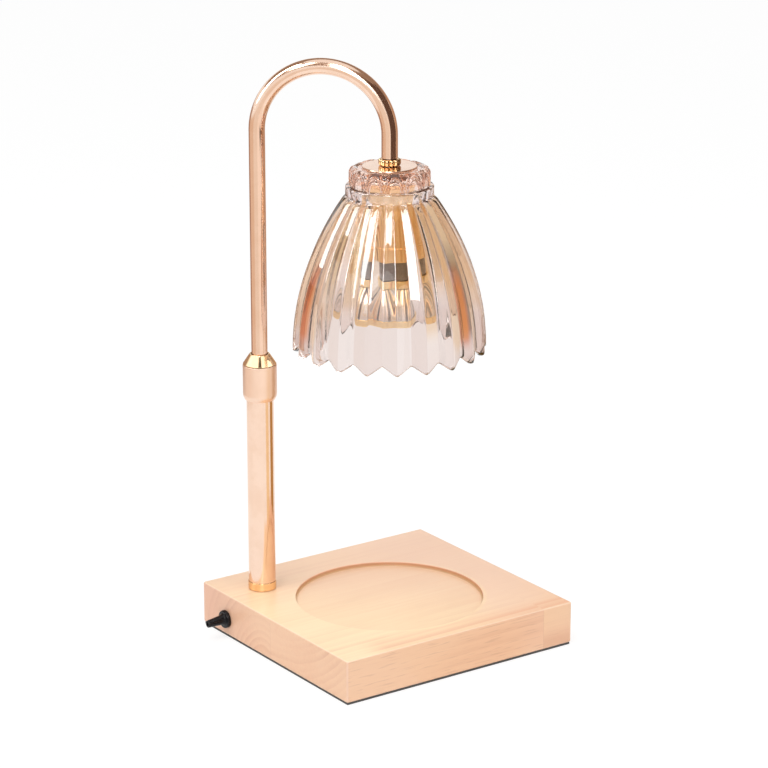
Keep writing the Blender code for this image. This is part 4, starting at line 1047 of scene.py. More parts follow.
@dataclass(frozen=True)
class Grid:
    """A surface sampled on rows and columns, closed from the last column to the first.

    Attributes:
        points: rows by columns by three.
        rows_close: whether the last row joins the first.
        u_span: the map's U over the whole turn.
        v_rows: the map's V of each row, or None for equal steps.
        relief: a number for each point that the finish may read, or None.
    """

    points: np.ndarray
    rows_close: bool = False
    u_span: float = 1.0
    v_rows: np.ndarray | None = None
    relief: np.ndarray | None = None

    def mesh(self, name: str) -> Mesh:
        """Turns the grid into a mesh with a map, closed seams and outward faces.

        Args:
            name: the mesh's name.

        Returns:
            The mesh, in the row frame.
        """
        rows, columns = self.points.shape[:2]
        row, column = np.meshgrid(
            np.arange(rows if self.rows_close else rows - 1), np.arange(columns), indexing="ij"
        )
        corner_rows = np.stack([row, row + 1, row + 1, row], -1).reshape(-1, 4)
        corner_columns = np.stack([column, column, column + 1, column + 1], -1).reshape(-1, 4)
        faces = corner_rows % rows * columns + corner_columns % columns
        levels = np.linspace(0.0, 1.0, rows) if self.v_rows is None else self.v_rows
        levels = np.append(levels, levels[-1])
        chart = np.stack([corner_columns / columns * self.u_span, levels[corner_rows]], -1)

        mesh = bpy.data.meshes.new(name)
        mesh.vertices.add(rows * columns)
        mesh.vertices.foreach_set("co", self.points.astype(np.float32).ravel())
        mesh.loops.add(faces.size)
        mesh.loops.foreach_set("vertex_index", faces.astype(np.int32).ravel())
        mesh.polygons.add(len(faces))
        mesh.polygons.foreach_set("loop_start", np.arange(0, faces.size, 4, dtype=np.int32))
        mesh.update(calc_edges=True)
        layer = mesh.uv_layers.new(name="UVMap")
        layer.uv.foreach_set("vector", chart.astype(np.float32).ravel())
        if self.relief is not None:
            marks = mesh.attributes.new("relief", "FLOAT", "POINT")
            marks.data.foreach_set("value", self.relief.astype(np.float32).ravel())
        return sealed(mesh)


def sealed(mesh: Mesh) -> Mesh:
    """Merges doubles, turns faces outwards and smooths all but the sharp edges."""
    work = bmesh.new()
    work.from_mesh(mesh)
    bmesh.ops.remove_doubles(work, verts=work.verts, dist=WELD_DISTANCE)
    bmesh.ops.dissolve_degenerate(work, edges=work.edges, dist=WELD_DISTANCE)
    bmesh.ops.recalc_face_normals(work, faces=work.faces)
    if work.calc_volume(signed=True) < 0.0:
        bmesh.ops.reverse_faces(work, faces=work.faces)
    for face in work.faces:
        face.smooth = True
    work.to_mesh(mesh)
    work.free()
    mesh.set_sharp_from_angle(angle=CREASE_ANGLE)
    return mesh


def filleted(corners: Sequence[Point], closed: bool = True, steps: int = 6) -> np.ndarray:
    """A profile whose corners are rounded.

    With back and ahead the unit directions to the corners beside it, a corner becomes the
    parabola corner + cut * ((1 - t)^2 * back + t^2 * ahead), with a point more on either side
    so that flat faces stay flat.

    Args:
        corners: radius, height and cut of each corner, in metres.
        closed: whether the last corner joins the first.
        steps: points round each corner.

    Returns:
        Radius and height of each point.
    """
    table = np.asarray(corners, dtype=float)
    point, cut = table[:, :2], table[:, 2].copy()
    back = np.roll(point, 1, axis=0) - point
    ahead = np.roll(point, -1, axis=0) - point
    if not closed:
        cut[[0, -1]] = 0.0
    back /= np.maximum(np.linalg.norm(back, axis=1, keepdims=True), WELD_DISTANCE)
    ahead /= np.maximum(np.linalg.norm(ahead, axis=1, keepdims=True), WELD_DISTANCE)
    t = np.linspace(0.0, 1.0, steps)
    toward_back = np.concatenate([[1.25], (1.0 - t) ** 2, [0.0]])
    toward_ahead = np.concatenate([[0.0], t**2, [1.25]])
    moved = toward_back[:, None] * back[:, None] + toward_ahead[:, None] * ahead[:, None]
    return (point[:, None] + cut[:, None, None] * moved).reshape(-1, 2)


def round_steps(columns: int) -> np.ndarray:
    """Equal steps round an axis, in radians."""
    return np.arange(columns) * FULL_TURN / columns


def revolved(
    radius: np.ndarray, height: np.ndarray, centre: Pair, turn: np.ndarray
) -> np.ndarray:
    """Turns a profile about an upright axis: x = r cos a, y = r sin a, z = height.

    Args:
        radius: per row, or per row and column.
        height: per row, or per row and column.
        centre: the axis, in X and Y.
        turn: the direction of each column, in radians.

    Returns:
        Points, rows by columns by three.
    """
    radius = radius.reshape(len(radius), -1)
    height = height.reshape(len(height), -1)
    x = centre[0] + radius * np.cos(turn)
    y = centre[1] + radius * np.sin(turn)
    return np.stack([x, y, np.broadcast_to(height, x.shape)], -1)


@dataclass(frozen=True)
class Span:
    """A round node's axis, greatest radius and heights, read from the frame."""

    x: float
    y: float
    radius: float
    low: float
    high: float

    @classmethod
    def of(cls, node: str) -> "Span":
        """Measures a CAD node."""
        low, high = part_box(node)
        return cls((low.x + high.x) / 2, (low.y + high.y) / 2, (high.x - low.x) / 2, low.z, high.z)

    @property
    def axis(self) -> Pair:
        """The axis, in X and Y."""
        return self.x, self.y


def ring(span: Span, bore: float, rounding: float, steps: int = 6) -> np.ndarray:
    """The profile of a ring as high as a node, with its outer edges rounded.

    Args:
        span: the node's radius and heights.
        bore: the radius of its hole.
        rounding: the cut of its outer edges.
        steps: points round each corner.

    Returns:
        Radius and height of each point.
    """
    corners = [
        (span.radius, span.high, rounding),
        (span.radius, span.low, rounding),
        (bore, span.low, 0.0),
        (bore, span.high, 0.0),
    ]
    return filleted(corners, steps=steps)


@dataclass
class SubAssembly:
    """What every sub-assembly shares: its palette, and how a mesh becomes a piece."""

    palette: Palette
    columns: int = 128

    def dressed(
        self, name: str, mesh: Mesh, slot: Slot, node: str, finish: Finish | None = None
    ) -> bpy.types.Object:
        """Makes a piece of a mesh, with its finish and the CAD node that it stands for.

        Args:
            name: the piece's name.
            mesh: its mesh, in the row frame.
            slot: its finish.
            node: the CAD node that it stands for.
            finish: a variant of the slot's finish, or None.

        Returns:
            The piece, which doesn't ride on a body yet.
        """
        palette = self.palette
        material = finish.build(name, palette.effects) if finish else palette.material(slot)
        piece = linked(name, mesh)
        mesh.materials.append(material)
        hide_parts(node)
        return piece

    def fit(
        self,
        name: str,
        mesh: Mesh,
        slot: Slot,
        body: Body,
        node: str,
        finish: Finish | None = None,
    ) -> None:
        """Dresses a mesh and sets it in place of a CAD node.

        Args:
            name: the piece's name.
            mesh: its mesh, in the row frame.
            slot: its finish.
            body: what it moves with.
            node: the CAD node that it stands for.
            finish: a variant of the slot's finish, or None.
        """
        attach(self.dressed(name, mesh, slot, node, finish), body.value)
        LOG.info("%s: %d faces, rides on %s", name, len(mesh.polygons), body.value)

    def turn(
        self,
        name: str,
        profile: np.ndarray,
        slot: Slot,
        body: Body,
        node: str,
        finish: Finish | None = None,
        closed: bool = True,
    ) -> None:
        """Turns a profile about a CAD node's axis and sets it in place of the node.

        Args:
            name: the piece's name.
            profile: radius and height of each point.
            slot: its finish.
            body: what it moves with.
            node: the CAD node that it stands for.
            finish: a variant of the slot's finish, or None.
            closed: whether the profile's last point joins its first.
        """
        axis, columns = Span.of(node).axis, round_steps(self.columns)
        grid = Grid(revolved(profile[:, 0], profile[:, 1], axis, columns), rows_close=closed)
        self.fit(name, grid.mesh(name), slot, body, node, finish)


@dataclass
class Base(SubAssembly):
    """Wooden block with the jar's round seat, and the cord's strain relief in its left wall."""

    corner: float = 0.0013
    corner_steps: int = 6
    edge: float = 0.0009
    edge_steps: int = 5
    edge_reach: float = 1.3
    side_steps: int = 84
    top_steps: int = 8
    seat_depth: float = 0.0025
    seat_fillet: float = 0.0007
    brim: float = 0.0015
    rim_round: float = 0.0005
    pocket_low: Point = (-0.0770, 0.0320, -0.0010)
    pocket_high: Point = (-0.0210, 0.0700, 0.0195)
    stud_reach: Pair = (0.015, 0.035)
    gland_hole: float = 0.0037
    gland_hole_end: float = -0.075
    hole_facets: int = 48
    gland_columns: int = 96
    snout_tip: float = 0.0023
    snout_root: float = 0.0031
    snout_foot: float = 0.0038
    snout_start: float = 0.0046
    snout_droop: float = 0.0006
    flange_front: float = 0.0026
    flange_edge: float = 0.0019
    flange_back: float = 0.0003
    spigot: float = 0.0034
    cord_hole: float = 0.0013

    def outline(self, inset: float) -> np.ndarray:
        """The block's outline, moved in.

        Each corner is its centre plus (corner - inset) times a unit quarter turn, and each
        side is the straight line between two corners.

        Args:
            inset: how far it is moved in, in metres.

        Returns:
            Points in X and Y.
        """
        low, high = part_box("base_block")
        middle = np.array([low.x + high.x, low.y + high.y]) / 2
        half = np.array([high.x - low.x, high.y - low.y]) / 2 - self.corner
        signs = np.array([[1, 1], [-1, 1], [-1, -1], [1, -1]])
        bend = np.linspace(0, QUARTER_TURN, self.corner_steps)
        turn = np.arange(4)[:, None] * QUARTER_TURN + bend
        round_part = (self.corner - inset) * np.stack([np.cos(turn), np.sin(turn)], -1)
        arcs = middle + (signs * half)[:, None] + round_part
        share = np.linspace(0, 1, self.side_steps + 2)[1:-1]
        start, end = arcs[:, -1], np.roll(arcs, -1, axis=0)[:, 0]
        sides = start[:, None] + (end - start)[:, None] * share[:, None]
        return np.concatenate([arcs, sides], axis=1).reshape(-1, 2)

    def block_grid(self) -> Grid:
        """Rings from the seat's middle over the rim, the top, the sides and the underside.

        Returns:
            The closed grid. Its rows are circles about the seat inside the rim, and go over
            to the outline by linear shares across the top.
        """
        low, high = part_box("base_block")
        bottom, top = low.z, high.z
        centre = np.array(HEAD)
        toward = self.outline(0.0) - centre
        toward /= np.linalg.norm(toward, axis=1, keepdims=True)
        floor = top - self.seat_depth
        brim = SEAT_RADIUS + self.brim
        corners = [
            (0.0, floor, 0.0),
            (SEAT_RADIUS, floor, self.seat_fillet),
            (SEAT_RADIUS, top, self.rim_round),
            (brim, top, 0.0),
        ]
        seat = filleted(corners, closed=False)
        inner = centre + seat[:, 0][:, None, None] * toward
        circle = centre + brim * toward
        inset = self.edge * self.edge_reach
        flat = self.outline(inset)
        share = np.linspace(0, 1, self.top_steps)[1:]
        across = circle + share[:, None, None] * (flat - circle)
        turn = np.linspace(0, QUARTER_TURN, self.edge_steps)
        edge = np.stack([self.outline(self.edge * (1 - math.sin(a))) for a in turn])
        drop = self.edge * (1 - np.cos(turn))
        side = self.outline(0.0)[None]
        under = np.broadcast_to(centre, flat.shape)
        rings = [inner, across, edge, side, side, edge[::-1], flat[None], under[None]]
        heights = [
            seat[:, 1],
            np.full(len(share), top),
            top - drop,
            [top - inset, bottom + inset],
            bottom + drop[::-1],
            [bottom, bottom],
        ]
        flats = np.concatenate(rings)
        level = np.broadcast_to(np.concatenate(heights)[:, None, None], (*flats.shape[:2], 1))
        return Grid(np.concatenate([flats, level], -1))

    def cutters(self) -> tuple[np.ndarray, ...]:
        """The closed solids of the wiring pocket, the stud's hole and the gland's hole.

        Returns:
            A grid of points for each: a box, an upright cylinder, and one along X.
        """
        (x0, y0, z0), (x1, y1, z1) = self.pocket_low, self.pocket_high
        loop = np.array([(x0, y0), (x1, y0), (x1, y1), (x0, y1)])
        middle = loop.mean(axis=0)
        pocket = np.array(
            [
                [(*middle, z0)] * 4,
                [(*p, z0) for p in loop],
                [(*p, z1) for p in loop],
                [(*middle, z1)] * 4,
            ]
        )
        open_ends, turn = np.array([0.0, 1.0, 1.0, 0.0]), round_steps(self.hole_facets)
        stud = revolved(STUD_HOLE * open_ends, np.repeat(self.stud_reach, 2), POST, turn)
        low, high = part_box("cord_gland")
        reach = np.repeat((low.x, self.gland_hole_end), 2)
        axis = ((low.z + high.z) / 2, Span.of("gland_nut").y)
        bore = revolved(self.gland_hole * open_ends, reach, axis, turn)
        return pocket, stud, bore[:, :, ::-1]

    def hollowed(self, mesh: Mesh) -> Mesh:
        """Cuts the hollows out of the block.

        Args:
            mesh: the solid block.

        Returns:
            The block with its hollows.
        """
        block = linked("block_solid", mesh)
        helpers = [block]
        for number, points in enumerate(self.cutters()):
            cutter = linked(f"cutter_{number}", Grid(points).mesh(f"cutter_{number}"))
            cut = block.modifiers.new(cutter.name, "BOOLEAN")
            cut.operation, cut.solver, cut.object = "DIFFERENCE", "EXACT", cutter
            helpers.append(cutter)
        bpy.context.view_layer.update()
        ready = block.evaluated_get(bpy.context.evaluated_depsgraph_get())
        result = bpy.data.meshes.new_from_object(ready)
        for helper in helpers:
            bpy.data.objects.remove(helper)
        return sealed(result)

    def strain_relief(self) -> Mesh:
        """Flange with a tapered snout, turned about -X: z falls by droop * (reach / length)^2."""
        low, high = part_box("cord_gland")
        middle_y, middle_z = (low.y + high.y) / 2, (low.z + high.z) / 2
        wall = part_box("base_block")[0].x
        flange = (high.y - low.y) / 2
        out, end = wall - low.x, wall - high.x
        profile = filleted(
            [
                (self.snout_tip, out, 0.0004),
                (self.snout_root, self.snout_start, 0.0010),
                (self.snout_foot, self.flange_front, 0.0006),
                (flange - 0.0004, self.flange_front, 0.0002),
                (flange, self.flange_edge, 0.0005),
                (flange, self.flange_back, 0.0002),
                (self.spigot, self.flange_back, 0.0),
                (self.spigot, end, 0.0003),
                (self.cord_hole, end, 0.0002),
                (self.cord_hole, out, 0.0003),
            ]
        )
        turn = round_steps(self.gland_columns)
        points = revolved(profile[:, 0], profile[:, 1], (middle_y, middle_z), turn)
        sag = self.snout_droop * (np.clip(points[..., 2], 0.0, None) / out) ** 2
        lying = np.stack([wall - points[..., 2], points[..., 0], points[..., 1] - sag], -1)
        return Grid(lying, rows_close=True).mesh("strain_relief")

    def build(self) -> None:
        """Builds and dresses the base's pieces."""
        block = self.hollowed(self.block_grid().mesh("wooden_base"))
        block.name = "wooden_base"
        self.fit("wooden_base", block, Slot.BEECH, Body.BASE, "base_block")
        relief = self.strain_relief()
        self.fit("strain_relief", relief, Slot.BLACK_PLASTIC, Body.BASE, "cord_gland")


@dataclass
class Post(SubAssembly):
    """Foot ring and outer tube of the telescope."""

    wall: float = 0.0010
    tube_round: float = 0.0002
    foot_round: float = 0.0002
    foot_waist: float = 0.0003
    spigot_gap: float = 0.0003

    def build(self) -> None:
        """Builds and dresses the post's pieces."""
        post, foot = Span.of("lower_post"), Span.of("post_foot")
        bore = post.radius - self.wall
        tube = ring(post, bore, self.tube_round)
        self.turn("outer_post", tube, Slot.ROSE_GOLD, Body.BASE, "lower_post")
        seam = post.low - self.spigot_gap / 4
        spigot = bore - self.spigot_gap
        profile = filleted(
            [
                (spigot, foot.high, self.spigot_gap),
                (spigot, seam, 0.0),
                (foot.radius, seam, self.foot_round),
                (foot.radius, foot.low, self.foot_waist),
                (STUD_HOLE, foot.low, 0.0),
                (STUD_HOLE, foot.high, 0.0),
            ]
        )
        self.turn("foot_ring", profile, Slot.ROSE_GOLD, Body.BASE, "post_foot", FOOT_GOLD_WITH_PAINTED_REFLECTION)


@dataclass
class TwistLock(SubAssembly):
    """Barrel and polished cone of the lock that clamps the arm."""

    bore: float = 0.0088
    chamfer: float = 0.0012
    chamfer_height: float = 0.0026
    edge_round: float = 0.0005
    lip: float = 0.00065
    mouth: float = 0.0055
    mouth_height: float = 0.0012
    seam_lift: float = 0.0020
    foot_lift: float = 0.0008

    def build(self) -> None:
        """Builds and dresses the lock's pieces."""
        barrel, cone = Span.of("lock_sleeve"), Span.of("lock_cone")
        foot, seam = barrel.low + self.foot_lift, barrel.high + self.seam_lift
        profile = filleted(
            [
                (barrel.radius, seam, self.edge_round),
                (barrel.radius, foot + self.chamfer_height, self.chamfer),
                (barrel.radius - self.chamfer, foot, self.edge_round),
                (self.bore, foot, 0.0),
                (self.bore, seam, 0.0),
            ]
        )
        self.turn("lock_barrel", profile, Slot.ROSE_GOLD, Body.COLLAR, "lock_sleeve", SATIN)
        profile = filleted(
            [
                (self.mouth + self.lip, cone.high, self.lip / 2),
                (cone.radius, cone.low + self.seam_lift, self.edge_round),
                (self.bore, cone.low + self.seam_lift, 0.0),
                (self.mouth, cone.high - self.mouth_height, 0.0),
                (self.mouth, cone.high, self.lip / 3),
            ]
        )
        self.turn("lock_cap", profile, Slot.BRIGHT_GOLD, Body.COLLAR, "lock_cone")


@dataclass
class Arm(SubAssembly):
    """Goose-neck tube: straight, half circle and short drop."""

    columns: int = 96
    arch_steps: int = 128
    radius: float = 0.0050
    wall: float = 0.0010
    end_round: float = 0.0003
    drop: float = 0.0140

    def plane(self) -> tuple[float, np.ndarray, np.ndarray]:
        """The arch's width, and the unit vectors along it and up."""
        along = np.array([*HEAD, 0.0]) - np.array([*POST, 0.0])
        reach = np.linalg.norm(along)
        return reach, along / reach, np.array([0.0, 0.0, 1.0])

    def path(self) -> tuple[np.ndarray, np.ndarray]:
        """The tube's middle line, with its direction across the tube in the arch's plane.

        Returns:
            Points and unit vectors, one for each station. On the arch both follow the angle
            a from half a turn to nothing: point = centre + arch radius * (cos a, sin a).
        """
        reach, heading, upright = self.plane()
        low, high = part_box("arm_tube")
        arch = reach / 2
        spring = high.z - self.radius - arch
        turn = np.linspace(math.pi, 0.0, self.arch_steps)
        along = np.concatenate([[0.0] * 4, arch * (1 + np.cos(turn)), [reach] * 3])
        foot = low.z
        head = spring - self.drop
        height = np.concatenate(
            [
                [foot, foot + self.end_round / 3, foot + self.end_round, foot + 2 * self.end_round],
                spring + arch * np.sin(turn),
                [head + 2 * self.end_round, head + self.end_round, head],
            ]
        )
        lean = np.concatenate([[math.pi] * 4, turn, [0.0] * 3])
        middle = np.array([*POST, 0.0]) + along[:, None] * heading + height[:, None] * upright
        return middle, np.cos(lean)[:, None] * heading + np.sin(lean)[:, None] * upright

    def tube(self) -> Mesh:
        """Ring sections carried along the path: middle + r (cos a * across + sin a * side)."""
        middle, across = self.path()
        outer = np.full(len(middle), self.radius)
        outer[[0, -1]] -= self.end_round
        outer[1] -= self.end_round / 3
        inner = np.full(len(middle), self.radius - self.wall)
        radius = np.concatenate([outer, inner])
        centre = np.concatenate([middle, middle[::-1]])
        first = np.concatenate([across, across[::-1]])
        _, heading, upright = self.plane()
        turn = round_steps(self.columns)[:, None]
        spoke = np.cos(turn) * first[:, None] + np.sin(turn) * np.cross(heading, upright)
        points = centre[:, None] + radius[:, None, None] * spoke
        return Grid(points, rows_close=True).mesh("gooseneck")

    def build(self) -> None:
        """Builds and dresses the tube."""
        self.fit("gooseneck", self.tube(), Slot.ROSE_GOLD, Body.ARM, "arm_tube")


@dataclass
class SlackLead(SubAssembly):
    """Stretch of the lead in the post: straight in the stud, loose turns, straight again.

    The turns lie in the lower half.
    """

    columns: int = 12
    steps: int = 220
    radius: float = 0.0017
    turns: int = 3
    turns_start: float = 0.0052
    turns_end: float = 0.0342

    def coil(self, span: Span) -> Grid:
        """The jacket round its middle line.

        Over the turns the share s goes from 0 to 1, and the middle line is at axis + reach * ramp
        * (cos a, sin a), with a = turns * s full turns and ramp easing in and out over a third of
        them. A section is middle + radius * (cos b * across + sin b * side), and it shrinks to a
        point at both ends.

        Args:
            span: the node's axis, reach and heights.

        Returns:
            The grid of the jacket.
        """
        height = np.linspace(span.low, span.high, self.steps)
        length = self.turns_end - self.turns_start
        share = np.clip((height - span.low - self.turns_start) / length, 0.0, 1.0)
        ramp = np.clip(3.0 * np.minimum(share, 1.0 - share), 0.0, 1.0)
        reach = (span.radius - self.radius) * ramp**2 * (3.0 - 2.0 * ramp)
        angle = self.turns * FULL_TURN * share
        outward = np.stack([np.cos(angle), np.sin(angle), np.zeros(self.steps)], -1)
        middle = np.array([*span.axis, 0.0]) + reach[:, None] * outward
        middle[:, 2] = height
        ahead = np.gradient(middle, axis=0)
        ahead /= np.linalg.norm(ahead, axis=1, keepdims=True)
        across = outward - np.sum(outward * ahead, axis=1, keepdims=True) * ahead
        across /= np.linalg.norm(across, axis=1, keepdims=True)
        side = np.cross(ahead, across)
        turn = round_steps(self.columns)[:, None]
        spoke = np.cos(turn) * across[:, None] + np.sin(turn) * side[:, None]
        skin = middle[:, None] + self.radius * spoke
        ends = np.repeat(middle[[0, -1], None], self.columns, axis=1)
        return Grid(np.concatenate([ends[:1], skin, ends[1:]]))

    def build(self) -> None:
        """Builds and dresses the stretch, its place baked into its mesh."""
        span = Span.of("post_lead")
        jacket = self.coil(span).mesh("slack_lead")
        piece = self.dressed("slack_lead", jacket, Slot.LEAD_JACKET, "post_lead")
        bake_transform(piece)
        LOG.info("slack_lead: %d faces, bends from the base to the guide", len(jacket.polygons))


@dataclass
class Head(SubAssembly):
    """Beaded nut and cover disc on top of the glass."""

    columns: int = 160
    beads: int = 13
    columns_per_bead: int = 20
    bead_depth: float = 0.0012
    bore: float = 0.0040
    nut_round: float = 0.0014
    nut_steps: int = 9
    disc_round: float = 0.00045

    def nut(self) -> Mesh:
        """Ring of beads: the outer radius falls by bead depth * (1 - |cos(beads * a / 2)|)."""
        span = Span.of("head_nut")
        profile = ring(span, self.bore, self.nut_round, self.nut_steps)
        turn = round_steps(self.beads * self.columns_per_bead)
        groove = 1 - np.abs(np.cos(turn * self.beads / 2))
        outer = np.clip((profile[:, :1] - self.bore) / (span.radius - self.bore), 0, 1)
        radius = profile[:, :1] - self.bead_depth * groove * outer
        grid = Grid(revolved(radius, profile[:, 1:], span.axis, turn), rows_close=True)
        return grid.mesh("beaded_nut")

    def build(self) -> None:
        """Builds and dresses the nut and the disc."""
        self.fit("beaded_nut", self.nut(), Slot.BRASS, Body.ARM, "head_nut")
        profile = ring(Span.of("cover_disc"), self.bore, self.disc_round)
        self.turn("top_disc", profile, Slot.ROSE_GOLD, Body.ARM, "cover_disc")


@dataclass
class Shade(SubAssembly):
    """Pleated glass bell with an embossed neck and a scalloped lower edge.

    The pleats are flat facets that meet in slightly rounded ridges and grooves.
    """

    columns_per_pleat: int = 20
    gathering: float = 0.6
    pleats: int = 20
    crispness: float = 0.955
    first_crest: float = math.radians(13.9 - 44.5)
    hole: float = 0.0055
    neck: float = 0.0248
    neck_start: float = 0.0045
    neck_foot: float = 0.0006
    crown_inner: float = 0.0172
    crown_outer: float = 0.0185
    crown_round: float = 0.0030
    neck_height: float = 0.0098
    shoulder: float = 0.0269
    ledge: float = 0.0006
    shoulder_height: float = 0.0067
    flare: float = 0.0290
    flare_height: float = 0.0019
    skirt_lead: float = 0.003
    skirt_power: float = 2.1
    skirt: float = 0.0594
    height: float = 0.1141
    depth: float = 0.0029
    depth_at_flare: float = 0.0017
    pleat_start: float = 0.0130
    pleat_full: float = 0.0178
    scallop: float = 0.0055
    scallop_share: float = 0.125
    wall: float = 0.0024
    inner_inset: float = 0.0024
    top_wall: float = 0.0030
    arches: int = 12
    arch_centre: float = math.radians(3.2)
    arch_depth: float = 0.0011
    arch_top: float = 0.0008
    arch_half: float = 0.66
    arch_rise: float = 0.86
    arch_line: float = 0.13
    bar_lean: float = 0.42
    bar_line: float = 0.10
    bump_ring: float = 0.0215
    bump_width: float = 0.0021
    crown_bumps: float = 0.0009
    lip_round: float = 0.0018
    neck_rows: int = 30
    skirt_rows: int = 54
    lip_rows: int = 9
    inner_rows: int = 30

    @property
    def flare_drop(self) -> float:
        """Drop from the top of the glass to the flare."""
        return self.neck_height + self.ledge + self.shoulder_height + self.flare_height

    @property
    def skirt_drop(self) -> float:
        """Drop to where the skirt's own rows start."""
        return self.flare_drop + self.skirt_lead

    def skirt_share(self, drop: np.ndarray) -> np.ndarray:
        """How far down the skirt a drop is, from 0 to 1."""
        return np.clip((drop - self.flare_drop) / (self.height - self.flare_drop), 0, 1)

    def crest(self, drop: np.ndarray) -> np.ndarray:
        """Radius of the skirt's crests: flare + (skirt - flare) * (1 - (1 - share)^power)."""
        fullness = 1 - (1 - self.skirt_share(drop)) ** self.skirt_power
        return self.flare + (self.skirt - self.flare) * fullness

    def pleat_depth(self, drop: np.ndarray) -> np.ndarray:
        """Depth of the pleats: none above their start, then a smooth rise, then a linear one."""
        rise = np.clip((drop - self.pleat_start) / (self.pleat_full - self.pleat_start), 0, 1)
        smooth = rise * rise * (3 - 2 * rise)
        deeper = (self.depth - self.depth_at_flare) * self.skirt_share(drop)
        return smooth * self.depth_at_flare + deeper

    def zigzag(self, phase: np.ndarray) -> np.ndarray:
        """Rounded triangle wave: (1 - asin(k cos(2 pi p)) / asin(k)) / 2, 0 on the crests."""
        crisp = self.crispness
        return (1 - np.arcsin(crisp * np.cos(FULL_TURN * phase)) / math.asin(crisp)) / 2

    def scalloped(self, share: np.ndarray, groove: np.ndarray) -> np.ndarray:
        """Drop of the skirt's rows, by share, less the scallop in the grooves near the lip."""
        reach = self.height - self.lip_round - self.skirt_drop
        cut = np.clip((share - 1 + self.scallop_share) / self.scallop_share, 0, 1)
        return self.skirt_drop + reach * share - self.scallop * groove * cut

    def upper_rows(self) -> np.ndarray:
        """Crest radius and drop of the rows over the crown, neck, shoulder and flare."""
        ledge_drop, neck_end = self.neck_height + self.ledge, self.neck_height - self.neck_foot
        corners = [
            (self.hole, 0.0, 0.0),
            (self.crown_inner, 0.0, 0.0004),
            (self.crown_outer, -0.0002, 0.0006),
            (self.neck, -0.0001, self.crown_round),
            (self.neck, self.neck_start, 0.0),
        ]
        crown = filleted(corners, closed=False, steps=12)
        drops = np.linspace(self.neck_start, neck_end, self.neck_rows)
        neck = np.stack([np.full(len(drops), self.neck), drops], -1)
        corners = [
            (self.neck, neck_end, 0.0),
            (self.neck, ledge_drop, 0.0009),
            (self.shoulder, ledge_drop, 0.0009),
            (self.shoulder, ledge_drop + self.shoulder_height, 0.0010),
            (self.flare, self.flare_drop, 0.0012),
            (self.crest(np.array([self.skirt_drop]))[0], self.skirt_drop, 0.0),
        ]
        return np.concatenate([crown, neck, filleted(corners, closed=False, steps=9)])

    def arch_relief(self, drop: np.ndarray, turn: np.ndarray) -> np.ndarray:
        """Raised arches round the neck, with a slanting bar on either side.

        In each of the cells, c runs from -1 to 1 across and h from 0 to 1 up. The arch is
        exp(-((e - 1) / line)^2) with e = sqrt((c / half)^2 + (h / rise)^2), and the bars are
        exp(-(((1 - |c|) - lean * h) / line)^2).

        Args:
            drop: rows, in metres below the top.
            turn: columns, in radians.

        Returns:
            The relief from 0 to 1, rows by columns.
        """
        cell = ((turn - self.arch_centre) * self.arches / FULL_TURN + 0.5) % 1.0 * 2 - 1
        up = 1 - (drop[:, None] - self.arch_top) / (self.neck_height - self.arch_top)
        inside = np.clip((up + 0.06) / 0.06, 0, 1) * np.clip((1.12 - up) / 0.12, 0, 1)
        high = np.clip(up, 0, None)
        ellipse = np.sqrt((cell / self.arch_half) ** 2 + (high / self.arch_rise) ** 2)
        arch = np.exp(-(((ellipse - 1) / self.arch_line) ** 2))
        bar = np.exp(-((((1 - np.abs(cell)) - self.bar_lean * up) / self.bar_line) ** 2))
        return np.maximum(arch, bar) * inside

    def embossed(
        self, upper: np.ndarray, groove: np.ndarray, turn: np.ndarray
    ) -> tuple[np.ndarray, np.ndarray, np.ndarray]:
        """The upper rows with their pleats, the neck's arches and the crown's bumps.

        Args:
            upper: crest radius and drop of each row.
            groove: 0 on a crest and 1 in a groove, by column.
            turn: the direction of each column from the first crest, in radians.

        Returns:
            Radius, drop and relief, rows by columns.
        """
        crest, drop = upper[:, :1], upper[:, 1:]
        relief = self.arch_relief(upper[:, 1], turn)
        on_neck = (crest > self.neck - 0.0035) & (drop < self.neck_height + 0.0004)
        radius = crest - self.pleat_depth(drop) * groove
        radius = radius - np.where(on_neck, self.arch_depth * (1 - relief), 0.0)
        near = np.exp(-(((crest - self.bump_ring) / self.bump_width) ** 2))
        near = near * (drop < self.crown_round)
        wave = np.abs(np.cos((turn - self.arch_centre) * self.arches / 2))
        lowered = drop - near * self.crown_bumps * (0.35 + 0.65 * wave)
        return radius, lowered, np.where(on_neck, relief, groove * (drop > self.pleat_start))

    def grid(self) -> Grid:
        """Outer side from the hole to the lip, then the plain inner side back to the hole.

        Returns:
            The closed grid, with U in pleats and V the drop's share of the height on the outer
            side, and 2 less that share on the inner side.
        """
        columns = self.pleats * self.columns_per_pleat
        step = np.arange(columns) / self.columns_per_pleat
        count = step - self.gathering * np.sin(2 * FULL_TURN * step) / (2 * FULL_TURN)
        turn = count * FULL_TURN / self.pleats
        groove = self.zigzag(count)
        upper = self.upper_rows()
        radius, upper_drop, upper_marks = self.embossed(upper, groove, turn)

        share = np.linspace(0, 1, self.skirt_rows)[:, None]
        skirt_drop = self.scalloped(share, groove)
        skirt_radius = self.crest(skirt_drop) - self.pleat_depth(skirt_drop) * groove

        lip_drop = self.height - self.lip_round - self.scallop * groove
        lip_outer = self.crest(lip_drop) - self.pleat_depth(lip_drop) * groove
        lip_inner = self.crest(lip_drop) - self.inner_inset - self.wall
        swing = np.linspace(0, math.pi, self.lip_rows)[1:-1, None]
        lip_radius = (lip_outer + lip_inner) / 2 + (lip_outer - lip_inner) / 2 * np.cos(swing)
        lip_level = lip_drop + self.lip_round * np.sin(swing) ** 0.8

